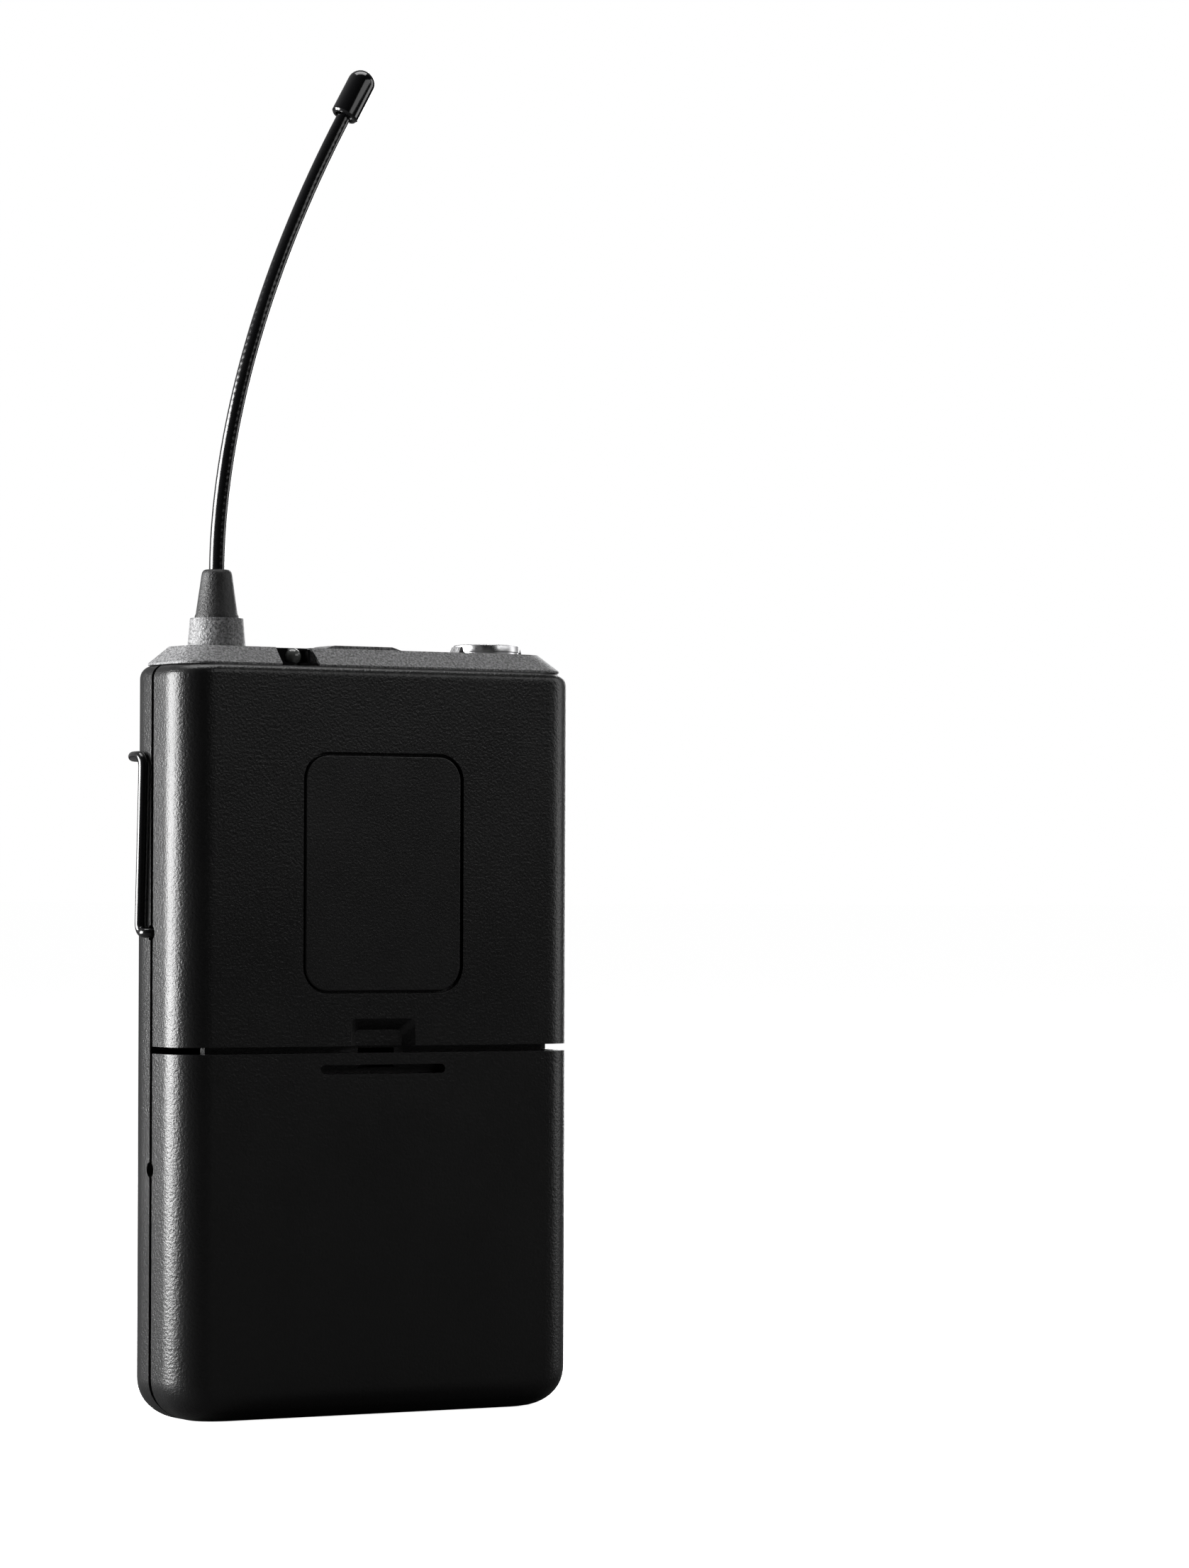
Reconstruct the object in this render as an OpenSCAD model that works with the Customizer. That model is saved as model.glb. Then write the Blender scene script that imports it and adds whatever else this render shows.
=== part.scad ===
// Wireless bodypack transmitter: a two-shell case with a battery door, a grey top cap that carries
// the antenna, the status light, the power switch and the microphone jack, and a sprung wire clip.
// X runs across the pack, Y from the front (battery door) to the back, Z up. The origin is at the
// middle of the bottom, on the plane where the front and rear halves meet.

/* [Body] */
// Width of the pack across its sides
body_w = 65; // [63:0.5:70]
// Height of the shells, without the top cap
body_h = 107.6; // [106:0.2:114]
// Depth of each half, from the parting plane to its outer face
half_d = 9.5; // [9.4:0.1:10.5]
// Wall thickness of the moulded shells
wall = 1.6; // [1.4:0.1:1.8]
// Radius of the two front upright edges
front_edge_r = 5.4; // [4:0.1:6]
// Radius of the two rear upright edges
rear_edge_r = 7.2; // [5:0.1:7.4]
// Radius of the bottom corners, seen from the front
bottom_corner_r = 6; // [5:0.1:7]
// Radius of the top corners, seen from the front
top_corner_r = 2; // [1.7:0.1:3]
// Width of the shadow line along the parting plane
seam = 0.4; // [0.2:0.1:0.6]

/* [Battery door] */
// Height of the battery door
door_h = 52.25; // [51:0.25:53]
// Gap between the door and the front cover
door_gap = 1; // [0.6:0.1:1.2]
// Radius of the door's lower front edge, which turns about the hinge pin
door_edge_r = 4.2; // [4:0.1:4.4]
// Length of the slot that frees the latch strip
slot_l = 20.3; // [16:0.1:24]
// Height of that slot
slot_h = 1.35; // [1:0.05:1.6]
// How far the door opens
door_open = 90; // [0:1:90]

/* [Inlay plate] */
// Width of the inlay plate
inlay_w = 25.3; // [20:0.1:30]
// Height of the inlay plate
inlay_h = 33.8; // [28:0.1:36]
// Corner radius of the inlay plate
inlay_r = 3.6; // [2:0.1:5]

/* [Top cap] */
// Rise of the cap above the shells
cap_rise = 2.7; // [2.4:0.1:3.2]
// Height of the antenna boss above the cap
boss_h = 4.1; // [3:0.1:5]
// Distance of the antenna and of the jack from the middle
port_x = 22.2; // [21:0.1:23]

/* [Antenna] */
// Diameter of the whip at its root
whip_d = 2.25; // [1.8:0.05:2.8]
// Height that the whip rises above its boot
whip_rise = 66.3; // [50:0.1:80]
// How far the bent whip leans towards the jack side
whip_lean = 20.2; // [0:0.1:26]

/* [Jack] */
// Inner radius of the jack's mouth
jack_r = 4.2; // [4.1:0.05:4.3]
// Outer diameter of the jack's ring
jack_ring_d = 9.7; // [9.5:0.1:10]

/* [Belt clip] */
// Diameter of the spring wire
wire_d = 1.4; // [1.2:0.1:1.6]
// Height of the upper clip holes
upper_hole_z = 69.4; // [66:0.1:72]
// Height of the spare clip holes, used when the clip is turned round
lower_hole_z = 35.7; // [34:0.1:38]
// Length of the clip's tongue below its bend
tongue_l = 58; // [45:1:62]
// Width of the clip's tongue
tongue_w = 22; // [18:1:28]

/* [Batteries] */
// Diameter of one cell
cell_d = 14.5; // [14:0.1:14.5]
// Length of one cell with its nub
cell_l = 50.5; // [50:0.1:50.5]

/* [Hidden] */
$fn = 64;
slit = 0.01;
fit_gap = 0.15;
half_w = body_w / 2;
inner_y = half_d - wall;
inner_x = half_w - wall;
top_edge_r = 1.2;
cover_low = door_h + door_gap;
cap_top = body_h + cap_rise;

// Hinge: the pin is as far from the front face as from the bottom, so the open door lies flat
pin_y = -half_d + door_edge_r;
pin_z = door_edge_r;
pin_r = 0.8;
pin_fit = 0.05;
door_sweep_r = 5.2;
shell_sweep_r = 5.5;
lug_in = 24.2;
lug_out = 28;
knuckle_in = 28.4;
knuckle_r = 2.2;

// Latch: a thumb recess above a catch window, and a slot that frees a flexible strip
notch_half = 5.3;
notch_h = 4;
notch_depth = 1.7;
notch_slope = 1.4;
ledge_y = -7.2;
ledge_t = 1.3;
ledge_half = 27.5;
ledge_low = 48.5;
window_half = 2.95;
slot_z = door_h - 2.35;

inlay_z = 78.05;
inlay_groove = 0.4;
inlay_t = 0.8;

// Top cap: its foot and its flat top are set in from the shells' outline
cap_foot_in = 1.15;
cap_top_in = 3.75;
cap_wall = 1.5;
skirt_x = 27.8;
skirt_y = 6;
skirt_h = 3;
boss_foot_r = 4.16;
boss_top_r = 3.82;
antenna_x = -port_x - 0.1;
jack_x = port_x - 0.15;
boot_top = cap_top + boss_h + 7;
led_x = -12.9;
led_half = 3.05;
led_r = 1.25;
led_z = body_h + 1.38;
bezel_half = 6.7;
bezel_front = -3;
bezel_rise = 0.6;
recess_half = 4.2;
recess_y = 2.1;
knob_l = 4.6;
switch_travel = 3;

// Jack
jack_top = cap_top + 1.4;
ring_h = 1.1;
barrel_r = 4.7;
latch_groove_r = 4.45;
latch_groove_z = jack_top - 3;
barrel_low = cap_top - 12.5;
pin_circle_r = 2.1;

// Belt clip: the wire leaves a hole, rises beside the shell and wraps round its rear edge
wire_r = wire_d / 2;
clip_x = half_w + 0.8;
clip_back = half_d + 1.1;
clip_top_z = upper_hole_z + 25.2;
wrap_r = 8;
tongue_half = tongue_w / 2;
leg_end_x = tongue_half + 5;
socket_in = 28.9;
socket_r = 0.75;
hole_r = 1.1;

// Battery tray
tray_low = 9.7;
tray_floor = 1.4;
tray_half = 30.2;
tray_front = -7.3;
tray_back = inner_y - fit_gap;
tray_top = 52;
tray_screw_z = tray_top - 4.5;
cell_y = -0.3;
cell_r = cell_d / 2;
cell_low_z = tray_low + tray_floor + 0.25 + cell_r;
cell_high_z = cell_low_z + cell_d + 0.5;
shelf_z = cell_high_z + cell_r + 0.4;
shelf_t = 1.2;
bay_half = 28.3;
cell_shift = 1.9;
nub_l = 1;
nub_r = 2.75;
plate_t = 0.35;
plate_half = 4.6;
spring_wire_r = 0.35;

// Boards
board_y = 2.2;
board_t = 1.2;
board_half = 28.4;
board_low = 56;
board_high = 95;
post_x = 24.5;
board_post_z = [64.5, 91];
case_posts = [[-25.5, 57.6], [25.5, 57.6], [-10, 100.5], [10, 100.5]];
cap_post_x = [-16.8, 11.5];
screw_r = 0.9;
control_y = -2.6;
trimmer_x = -13;
trimmer_z = 47.3;
trimmer_r = 2.6;

// ---------- shared shapes ----------

// Rectangle with a radius of its own at each corner, in the order low-left, low-right, high-right,
// high-left: straight sides cut across the corners, and a round in each corner
module soft_rect(low, high, r) {
    polygon([[low[0] + r[0], low[1]], [high[0] - r[1], low[1]],
             [high[0], low[1] + r[1]], [high[0], high[1] - r[2]],
             [high[0] - r[2], high[1]], [low[0] + r[3], high[1]],
             [low[0], high[1] - r[3]], [low[0], low[1] + r[0]]]);
    translate([low[0] + r[0], low[1] + r[0]]) circle(r[0]);
    translate([high[0] - r[1], low[1] + r[1]]) circle(r[1]);
    translate([high[0] - r[2], high[1] - r[2]]) circle(r[2]);
    translate([low[0] + r[3], high[1] - r[3]]) circle(r[3]);
}

// A flat outline across X and Z, given depth along Y
module upright(y0, y1) {
    translate([0, y1, 0]) rotate([90, 0, 0]) linear_extrude(y1 - y0) children();
}

// A flat outline across Y and Z, given length along X
module sideways(x0, x1) {
    translate([x0, 0, 0]) rotate([90, 0, 90]) linear_extrude(x1 - x0) children();
}

// A box between two corners
module block(low, high) {
    translate(low) cube([for (i = [0:2]) high[i] - low[i]]);
}

module both_sides() {
    children();
    mirror([1, 0, 0]) children();
}

// A round bar along X
module bar(x0, x1, y, z, r) {
    translate([x0, y, z]) rotate([0, 90, 0]) cylinder(h = x1 - x0, r = r);
}

// A round bar along Y
module stud(x, z, y0, y1, r) {
    translate([x, y0, z]) rotate([-90, 0, 0]) cylinder(h = y1 - y0, r = r);
}

// The pack's outline seen from above, set in by a given distance
module plan_outline(inset) {
    x = half_w - inset;
    y = half_d - inset;
    front = front_edge_r - inset;
    rear = rear_edge_r - inset;
    soft_rect([-x, -y], [x, y], [front, front, rear, rear]);
}

// The whole pack without its cap, set in by a given distance on every side
module pack_solid(inset) {
    x = half_w - inset;
    y = half_d - inset;
    low = inset;
    high = body_h - inset;
    far = body_w;
    function less(r) = max(r - inset, 0.4);
    intersection() {
        translate([0, 0, low - slit]) linear_extrude(high - low + 2 * slit) plan_outline(inset);
        upright(-far, far)
            soft_rect([-x, low], [x, high], [less(bottom_corner_r), less(bottom_corner_r),
                                             less(top_corner_r), less(top_corner_r)]);
        sideways(-far, far)
            soft_rect([-y, low], [y, high], [less(door_edge_r), less(door_edge_r),
                                             less(top_edge_r), less(top_edge_r)]);
    }
}

// Everything that stays with the shell below and behind the door's swing
module rear_side(sweep_r) {
    far = body_w;
    block([-far, seam / 2, -1], [far, far, body_h + 1]);
    difference() {
        block([-far, pin_y, -1], [far, seam, pin_z]);
        bar(-far - 1, far + 1, pin_y, pin_z, sweep_r);
    }
}

module clip_holes(z, r) {
    both_sides() bar(half_w - wall - 1, half_w + 1, 0, z, r);
}

// A screw along Y: a domed head of diameter 2.6 behind its shank, with a cross recess
module screw(x, z, y_tip, y_head) {
    head_h = 0.9;
    difference() {
        union() {
            stud(x, z, y_tip, y_head + slit, screw_r - 0.02);
            translate([x, y_head, z]) rotate([-90, 0, 0])
                rotate_extrude() polygon([[0, 0], [1.6, 0], [1.6, 0.35], [1.25, 0.7], [0.6, head_h],
                                          [0, head_h]]);
        }
        block([x - 0.9, y_head + 0.35, z - 0.16], [x + 0.9, y_head + 1, z + 0.16]);
        block([x - 0.16, y_head + 0.35, z - 0.9], [x + 0.16, y_head + 1, z + 0.9]);
    }
}

// ---------- wire and whip: a round section swept along a path ----------

function unit(v) = v / norm(v);

// Points of the arc that rounds the corner at b between a and c
function corner_arc(a, b, c, r, steps) =
    let (u = unit(b - a), v = unit(c - b), turn = acos(u * v), reach = r * tan(turn / 2),
         start = b - u * reach, end = b + v * reach,
         centre = b + unit(v - u) * r / cos(turn / 2))
    [for (i = [0:steps])
        centre + ((start - centre) * sin((1 - i / steps) * turn)
                  + (end - centre) * sin(i / steps * turn)) / sin(turn)];

// A bent wire's centre line: straight runs joined by arcs, each with its own radius
function bent_path(points, radii, steps) =
    let (last = len(points) - 1)
    [points[0],
     for (i = [1:last - 1]) each corner_arc(points[i - 1], points[i], points[i + 1], radii[i - 1], steps),
     points[last]];

function path_dir(p, i) =
    i == 0 ? unit(p[1] - p[0])
    : i == len(p) - 1 ? unit(p[i] - p[i - 1])
    : unit(unit(p[i + 1] - p[i]) + unit(p[i] - p[i - 1]));

// Directions square to the path, carried along it without twisting
function carried(p, first) =
    [for (i = 0, n = unit(first - (first * path_dir(p, 0)) * path_dir(p, 0)); i < len(p);
          i = i + 1, n = i < len(p) ? unit(n - (n * path_dir(p, i)) * path_dir(p, i)) : n) n];

module swept(p, radii, first, sides) {
    normals = carried(p, first);
    rings = len(p);
    points = [for (i = [0:rings - 1]) let (n = normals[i], b = cross(path_dir(p, i), n))
              for (k = [0:sides - 1]) let (a = 360 * k / sides)
              p[i] + radii[i] * (n * cos(a) + b * sin(a))];
    faces = concat(
        [[for (k = [sides - 1:-1:0]) k]],
        [for (i = [0:rings - 2]) for (k = [0:sides - 1]) let (m = (k + 1) % sides)
            [i * sides + k, i * sides + m, (i + 1) * sides + m, (i + 1) * sides + k]],
        [[for (k = [0:sides - 1]) (rings - 1) * sides + k]]);
    polyhedron(points, [for (f = faces) [for (j = [len(f) - 1:-1:0]) f[j]]], convexity = 6);
}

module wire(points, radii, first) {
    p = bent_path(points, radii, 6);
    swept(p, [for (q = p) wire_r], first, 12);
}

// ---------- shells ----------

module rear_shell() {
    color([0.075, 0.075, 0.08]) {
        difference() {
            union() {
                difference() {
                    intersection() {
                        pack_solid(0);
                        rear_side(shell_sweep_r);
                    }
                    pack_solid(wall);
                    cap_opening();
                }
                seam_lip();
            }
            clip_holes(upper_hole_z, hole_r);
            clip_holes(lower_hole_z, hole_r);
            for (q = case_posts) screw_well(q[0], q[1]);
            for (x = [-post_x, post_x]) stud(x, tray_screw_z, inner_y - 1, inner_y + 1.1, screw_r - 0.02);
        }
        both_sides() for (z = [lower_hole_z, upper_hole_z]) clip_socket(z);
        for (x = [-post_x, post_x], z = board_post_z) board_post(x, z);
        for (q = case_posts) case_sleeve(q[0], q[1]);
    }
}

// Inner lip that closes the seam beside the front cover and the door
module seam_lip() {
    lip_t = 0.8;
    lip_low = 12;
    both_sides() {
        block([inner_x, -seam / 2, cover_low + 0.6], [inner_x + lip_t, seam / 2 + slit, body_h - 4]);
        block([inner_x, -0.05, lip_low], [inner_x + lip_t, seam / 2 + slit, door_h]);
    }
}

module clip_socket(z) {
    difference() {
        block([socket_in, -1.9, z - 2], [inner_x - 0.3, 2, z + 2]);
        bar(socket_in - 1, inner_x, 0, z, socket_r);
    }
    difference() {
        block([socket_in, 0.6, z - 2], [inner_x + slit, 6, z + 2]);
        bar(socket_in - 1, half_w, 0, z, hole_r);
    }
}

module board_post(x, z) {
    difference() {
        stud(x, z, board_y + board_t, inner_y + slit, 2.2);
        stud(x, z, board_y + board_t - 1, inner_y - 0.8, screw_r - 0.02);
    }
}

module screw_well(x, z) {
    stud(x, z, 0, half_d + 1, screw_r + 0.25);
    stud(x, z, half_d - 2.6, half_d + 1, 1.9);
}

module case_sleeve(x, z) {
    difference() {
        intersection() {
            stud(x, z, 1, half_d - 1, 2.7);
            pack_solid(wall / 2);
        }
        screw_well(x, z);
    }
}

module cap_opening() {
    block([-skirt_x - 0.1, -skirt_y - 0.1, body_h - 3], [skirt_x + 0.1, skirt_y + 0.1, body_h + 1]);
}

module front_cover() {
    color([0.07, 0.07, 0.075]) {
        difference() {
            intersection() {
                pack_solid(0);
                block([-half_w, -half_d, cover_low], [half_w, -seam / 2, body_h]);
            }
            pack_solid(wall);
            cap_opening();
            clip_holes(upper_hole_z, hole_r);
            thumb_notch(0);
            upright(-half_d - 1, -half_d + inlay_t + 0.2) inlay_outline(inlay_groove);
        }
        difference() {
            notch_backing();
            thumb_notch(0);
        }
        door_ledge();
        for (q = case_posts) cover_post(q[0], q[1]);
    }
}

// Thumb recess: sides and top slope in to a flat floor
module thumb_notch(grow) {
    half = notch_half + grow;
    floor_half = half - notch_slope;
    difference() {
        block([-half, -half_d - 1, cover_low - 1], [half, -half_d + notch_depth + grow,
                                                    cover_low + notch_h + grow]);
        both_sides() sloped_cheek(half, floor_half);
        translate([0, -half_d, cover_low + notch_h + grow])
            sideways(-half - 1, half + 1)
                polygon([[0, 0], [notch_depth + grow + 1, -(notch_depth + grow + 1)],
                         [notch_depth + grow + 1, 1], [0, 1]]);
    }
}

module sloped_cheek(half, floor_half) {
    translate([0, 0, cover_low - 2]) linear_extrude(notch_h + 6)
        polygon([[half, -half_d], [floor_half, -half_d + notch_depth], [floor_half, 0],
                 [half + 1, 0], [half + 1, -half_d]]);
}

module notch_backing() {
    block([-notch_half - 1, -inner_y - slit, cover_low], [notch_half + 1, -inner_y + 1.4,
                                                          cover_low + notch_h + 1.5]);
}

// Ledge behind the door's top edge, with the window that the latch hook enters
module door_ledge() {
    window_top = cover_low - 0.3;
    difference() {
        block([-ledge_half, ledge_y, ledge_low], [ledge_half, ledge_y + ledge_t, cover_low + 2]);
        block([-window_half, ledge_y - 1, slot_z + 0.2], [window_half, ledge_y + 2, window_top]);
    }
    block([-ledge_half, -inner_y - slit, cover_low + 0.2], [ledge_half, ledge_y + slit, cover_low + 2]);
}

module cover_post(x, z) {
    difference() {
        intersection() {
            stud(x, z, -half_d + 1, 0.9, 2.3);
            pack_solid(wall / 2);
        }
        stud(x, z, -4.5, 1.5, screw_r - 0.02);
    }
}

module inlay_outline(grow) {
    w = inlay_w / 2 + grow;
    h = inlay_h / 2 + grow;
    r = inlay_r + grow;
    translate([0, inlay_z]) soft_rect([-w, -h], [w, h], [r, r, r, r]);
}

module inlay_plate() {
    color([0.06, 0.06, 0.065])
        upright(-half_d + 0.12, -half_d + 0.2 + inlay_t) inlay_outline(0);
}

// ---------- battery door ----------

module battery_door() {
    slot_half = slot_l / 2 - slot_h / 2;
    color([0.065, 0.065, 0.07]) {
        difference() {
            intersection() {
                pack_solid(0);
                door_side();
            }
            pack_solid(wall);
            clip_holes(lower_hole_z, hole_r);
            upright(-half_d - 1, -inner_y + 1) round_slot(slot_half);
            bar(-inner_x, inner_x, pin_y, pin_z, pin_r + pin_fit);
        }
        both_sides() door_knuckle();
        latch_hook();
    }
}

module round_slot(half) {
    translate([-half, slot_z - slot_h / 2]) square([2 * half, slot_h]);
    for (x = [-half, half]) translate([x, slot_z]) circle(slot_h / 2);
}

module door_side() {
    difference() {
        block([-half_w, -half_d, 0], [half_w, -seam / 2, door_h]);
        difference() {
            block([-half_w - 1, pin_y, -1], [half_w + 1, 1, pin_z]);
            bar(-half_w - 2, half_w + 2, pin_y, pin_z, door_sweep_r);
        }
    }
}

module door_knuckle() {
    difference() {
        bar(knuckle_in, inner_x + 0.2, pin_y, pin_z, knuckle_r);
        bar(knuckle_in - 1, inner_x, pin_y, pin_z, pin_r + pin_fit);
    }
}

module latch_hook() {
    hook_half = 2.6;
    block([-hook_half, -inner_y - slit, door_h - 1.4], [hook_half, ledge_y + 0.7, door_h - 0.25]);
}

module door_hinge_pins() {
    color([0.75, 0.75, 0.77]) both_sides() bar(lug_in, inner_x - 0.2, pin_y, pin_z, pin_r);
}

// ---------- top cap ----------

module top_cap() {
    color([0.42, 0.42, 0.43]) {
        difference() {
            union() {
                cap_solid();
                cap_skirt();
                antenna_boss();
                switch_bezel();
                jack_collar();
            }
            cap_hollow();
            translate([antenna_x, 0, body_h - 4]) cylinder(h = 20, r = 2);
            translate([jack_x, 0, body_h - 5]) cylinder(h = 20, r = barrel_r + 0.05);
            translate([jack_x, 0, jack_top - ring_h]) cylinder(h = 5, r = jack_ring_d / 2 + 0.03);
            switch_recess();
            led_window();
            for (x = cap_post_x) translate([x, 0, body_h - 4]) cylinder(h = 4, r = screw_r - 0.02);
        }
    }
}

module cap_solid() {
    foot = cap_foot_in;
    crown = cap_top_in;
    far = body_w;
    intersection() {
        translate([0, 0, body_h]) linear_extrude(cap_rise)
            soft_rect([-half_w + foot, -half_d + foot], [half_w - foot, half_d - foot],
                      [4.2, 4.2, 6, 6]);
        upright(-far, far)
            polygon([[-half_w + foot, body_h - 1], [half_w - foot, body_h - 1],
                     [half_w - foot, body_h + 0.3], [half_w - crown, cap_top],
                     [-half_w + crown, cap_top], [-half_w + foot, body_h + 0.3]]);
        sideways(-far, far)
            polygon([[-half_d + foot, body_h - 1], [half_d - foot, body_h - 1],
                     [half_d - foot, body_h + 0.3], [half_d - crown, cap_top],
                     [-half_d + crown, cap_top], [-half_d + foot, body_h + 0.3]]);
    }
}

module cap_skirt() {
    block([-skirt_x, -skirt_y, body_h - skirt_h], [skirt_x, skirt_y, body_h + slit]);
}

// The cap is hollow below, with solid ends for the screws and a web round each port
module cap_hollow() {
    x = skirt_x - 5.4;
    difference() {
        block([-x, -skirt_y + 1.2, body_h - skirt_h - 1], [x, skirt_y - 1.2, cap_top - cap_wall]);
        translate([antenna_x, 0, body_h - 4]) cylinder(h = 8, r = 3.4);
        for (x = cap_post_x) translate([x, 0, body_h - 4]) cylinder(h = 8, r = 2);
    }
}

module antenna_boss() {
    edge = 0.4;
    translate([antenna_x, 0, cap_top - 1]) rotate_extrude()
        polygon([[0, 0], [boss_foot_r, 0], [boss_foot_r, 1], [boss_top_r, boss_h + 1 - edge],
                 [boss_top_r - edge, boss_h + 1], [0, boss_h + 1]]);
}

module switch_bezel() {
    slope = 2;
    upright(bezel_front, -bezel_front)
        polygon([[-bezel_half, cap_top - 0.5], [bezel_half, cap_top - 0.5], [bezel_half, cap_top],
                 [bezel_half - slope, cap_top + bezel_rise], [-bezel_half + slope, cap_top + bezel_rise],
                 [-bezel_half, cap_top]]);
}

module switch_recess() {
    block([-recess_half, -recess_y, cap_top - 0.9], [recess_half, recess_y, cap_top + 2]);
    block([-recess_half + 0.9, -0.9, cap_top - 5], [recess_half - 0.9, 0.9, cap_top + 1]);
}

// Cone behind the jack's ring; its front is cut away so that the ring stands clear
module jack_collar() {
    difference() {
        translate([jack_x, 0, cap_top - 0.5]) rotate_extrude()
            polygon([[0, 0], [5.5, 0], [5.5, 0.5], [5.1, 1.6], [0, 1.6]]);
        block([jack_x - 7, -7, cap_top], [jack_x + 7, -1.2, cap_top + 3]);
    }
}

// Window that drops through the cap's front slope in front of the status light
module led_window() {
    narrow = led_half - 0.3;
    translate([led_x, 0, 0]) upright(-half_d, -4.2)
        polygon([[-led_half, body_h + 0.05], [led_half, body_h + 0.05], [narrow, cap_top + 1],
                 [-narrow, cap_top + 1]]);
    translate([led_x, 0, 0]) block([-led_r - 0.3, -4.4, body_h - 1], [led_r + 0.3, -1, cap_top - cap_wall]);
}

module led_bezel() {
    color([0.03, 0.03, 0.03]) translate([led_x, 0, 0]) difference() {
        union() {
            block([-led_half + 0.4, -5.6, body_h + 0.15], [led_half - 0.75, -4.25, cap_top - 0.15]);
            block([-led_half + 0.1, -7.9, body_h + 0.1], [led_half - 0.2, -4.25, body_h + 0.45]);
            block([led_r + 0.35, -7.1, body_h + 0.15], [led_r + 0.75, -4.25, cap_top - 0.35]);
        }
        stud(0, led_z, -9, -3, led_r + 0.1);
    }
}

module led_lens() {
    color([0.5, 0.5, 0.5]) translate([led_x, -5.45, led_z]) {
        sphere(r = led_r);
        rotate([-90, 0, 0]) cylinder(h = 1.2, r = led_r);
    }
}

module power_switch() {
    floor_z = cap_top - 0.85;
    top_z = cap_top + 0.35;
    x0 = -recess_half + 0.2;
    color([0.05, 0.05, 0.05]) {
        difference() {
            block([x0, -recess_y + 0.2, floor_z], [x0 + knob_l, recess_y - 0.2, top_z]);
            for (i = [0:3])
                translate([x0 + 0.95 + i * 0.9, 0, top_z]) rotate([90, 45, 0])
                    cube([0.4, 0.4, 2 * recess_y], center = true);
        }
        block([x0 + knob_l / 2 - 0.7, -0.7, cap_top - 4.6], [x0 + knob_l / 2 + 0.7, 0.7, floor_z + slit]);
    }
}

module switch_body() {
    top_z = cap_top - cap_wall - 0.4;
    color([0.6, 0.6, 0.62]) difference() {
        block([-5.4, -2.4, top_z - 4.4], [5.4, 2.4, top_z]);
        block([-4.4, -0.95, top_z - 2.9], [4.4, 0.95, top_z + 1]);
    }
}

// ---------- antenna ----------

module antenna_foot() {
    color([0.72, 0.6, 0.3]) translate([antenna_x, 0, 0]) {
        translate([0, 0, body_h - 5]) cylinder(h = 5 + cap_rise + boss_h, r = 1.95);
        translate([0, 0, body_h - skirt_h - 1.6]) cylinder(h = 1.6, r = 3.3, $fn = 6);
    }
}

module antenna_boot() {
    z0 = cap_top + boss_h;
    h = boot_top - z0;
    color([0.05, 0.05, 0.05]) translate([antenna_x, 0, z0]) difference() {
        rotate_extrude()
            polygon([[0, 0], [3.15, 0], [3.15, 0.3], [3, 0.5], [2.2, h - 0.7], [2, h - 0.25],
                     [1.6, h], [0, h]]);
        translate([0, 0, 0.6]) cylinder(h = h, r = whip_d / 2 + 0.02);
    }
}

// The whip's centre line: upright at the boot, and leaning more and more towards its tip
function whip_point(t) = [antenna_x + whip_lean * pow(t, 1.83), 0, boot_top + whip_rise * t];

module antenna_whip() {
    steps = 26;
    foot = [antenna_x, 0, boot_top - 5.6];
    p = [foot, for (i = [0:steps]) whip_point(i / steps)];
    color([0.03, 0.03, 0.03])
        swept(p, [for (i = [0:steps + 1]) whip_d / 2 - 0.07 * i / steps], [0, 1, 0], 12);
}

module antenna_tip() {
    end = whip_point(1);
    dir = unit(end - whip_point(0.97));
    tilt = atan2(dir[0], dir[2]);
    tip_r = 2.03;
    tip_side = 5.8;
    dome = 1.9;
    color([0.02, 0.02, 0.02]) translate(end + dir * 0.05) rotate([0, tilt, 0]) difference() {
        rotate_extrude()
            polygon(concat([[0, 0], [tip_r - 0.35, 0], [tip_r, 0.3], [tip_r, tip_side]],
                           [for (a = [15:15:75]) [tip_r * cos(a), tip_side + dome * sin(a)]],
                           [[0, tip_side + dome]]));
        translate([0, 0, -1]) cylinder(h = 1.6, r = whip_d / 2 + 0.25);
    }
}

// ---------- microphone jack ----------

// Plated barrel with a rim; the groove inside its mouth is where a plug's latch catches
module jack_shell() {
    color([0.85, 0.85, 0.87]) translate([jack_x, 0, 0]) difference() {
        union() {
            translate([0, 0, jack_top - ring_h]) rotate_extrude()
                polygon([[0, 0], [jack_ring_d / 2, 0], [jack_ring_d / 2, ring_h - 0.25],
                         [jack_ring_d / 2 - 0.25, ring_h], [0, ring_h]]);
            translate([0, 0, barrel_low]) cylinder(h = jack_top - barrel_low - 0.2, r = barrel_r);
        }
        translate([0, 0, barrel_low - 1]) cylinder(h = 20, r = jack_r);
        translate([0, 0, latch_groove_z]) cylinder(h = 0.6, r = latch_groove_r);
    }
}

module jack_insulator() {
    color([0.04, 0.04, 0.04]) translate([jack_x, 0, 0]) difference() {
        translate([0, 0, barrel_low]) cylinder(h = 3, r = jack_r);
        for (a = [90:120:330]) rotate(a) translate([pin_circle_r, 0, barrel_low - 1])
            cylinder(h = 5, r = 0.5);
    }
}

module jack_pins() {
    color([0.85, 0.68, 0.3]) translate([jack_x, 0, 0])
        for (a = [90:120:330]) rotate(a) translate([pin_circle_r, 0, barrel_low - 2.2]) {
            cylinder(h = 11, r = 0.5);
            translate([0, 0, 11]) sphere(r = 0.5);
        }
}

module jack_nut() {
    color([0.8, 0.8, 0.8]) translate([jack_x, 0, body_h - skirt_h - 2.2]) difference() {
        cylinder(h = 2, r = 6.2, $fn = 6);
        translate([0, 0, -1]) cylinder(h = 4, r = barrel_r);
    }
}

// ---------- belt clip ----------

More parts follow.
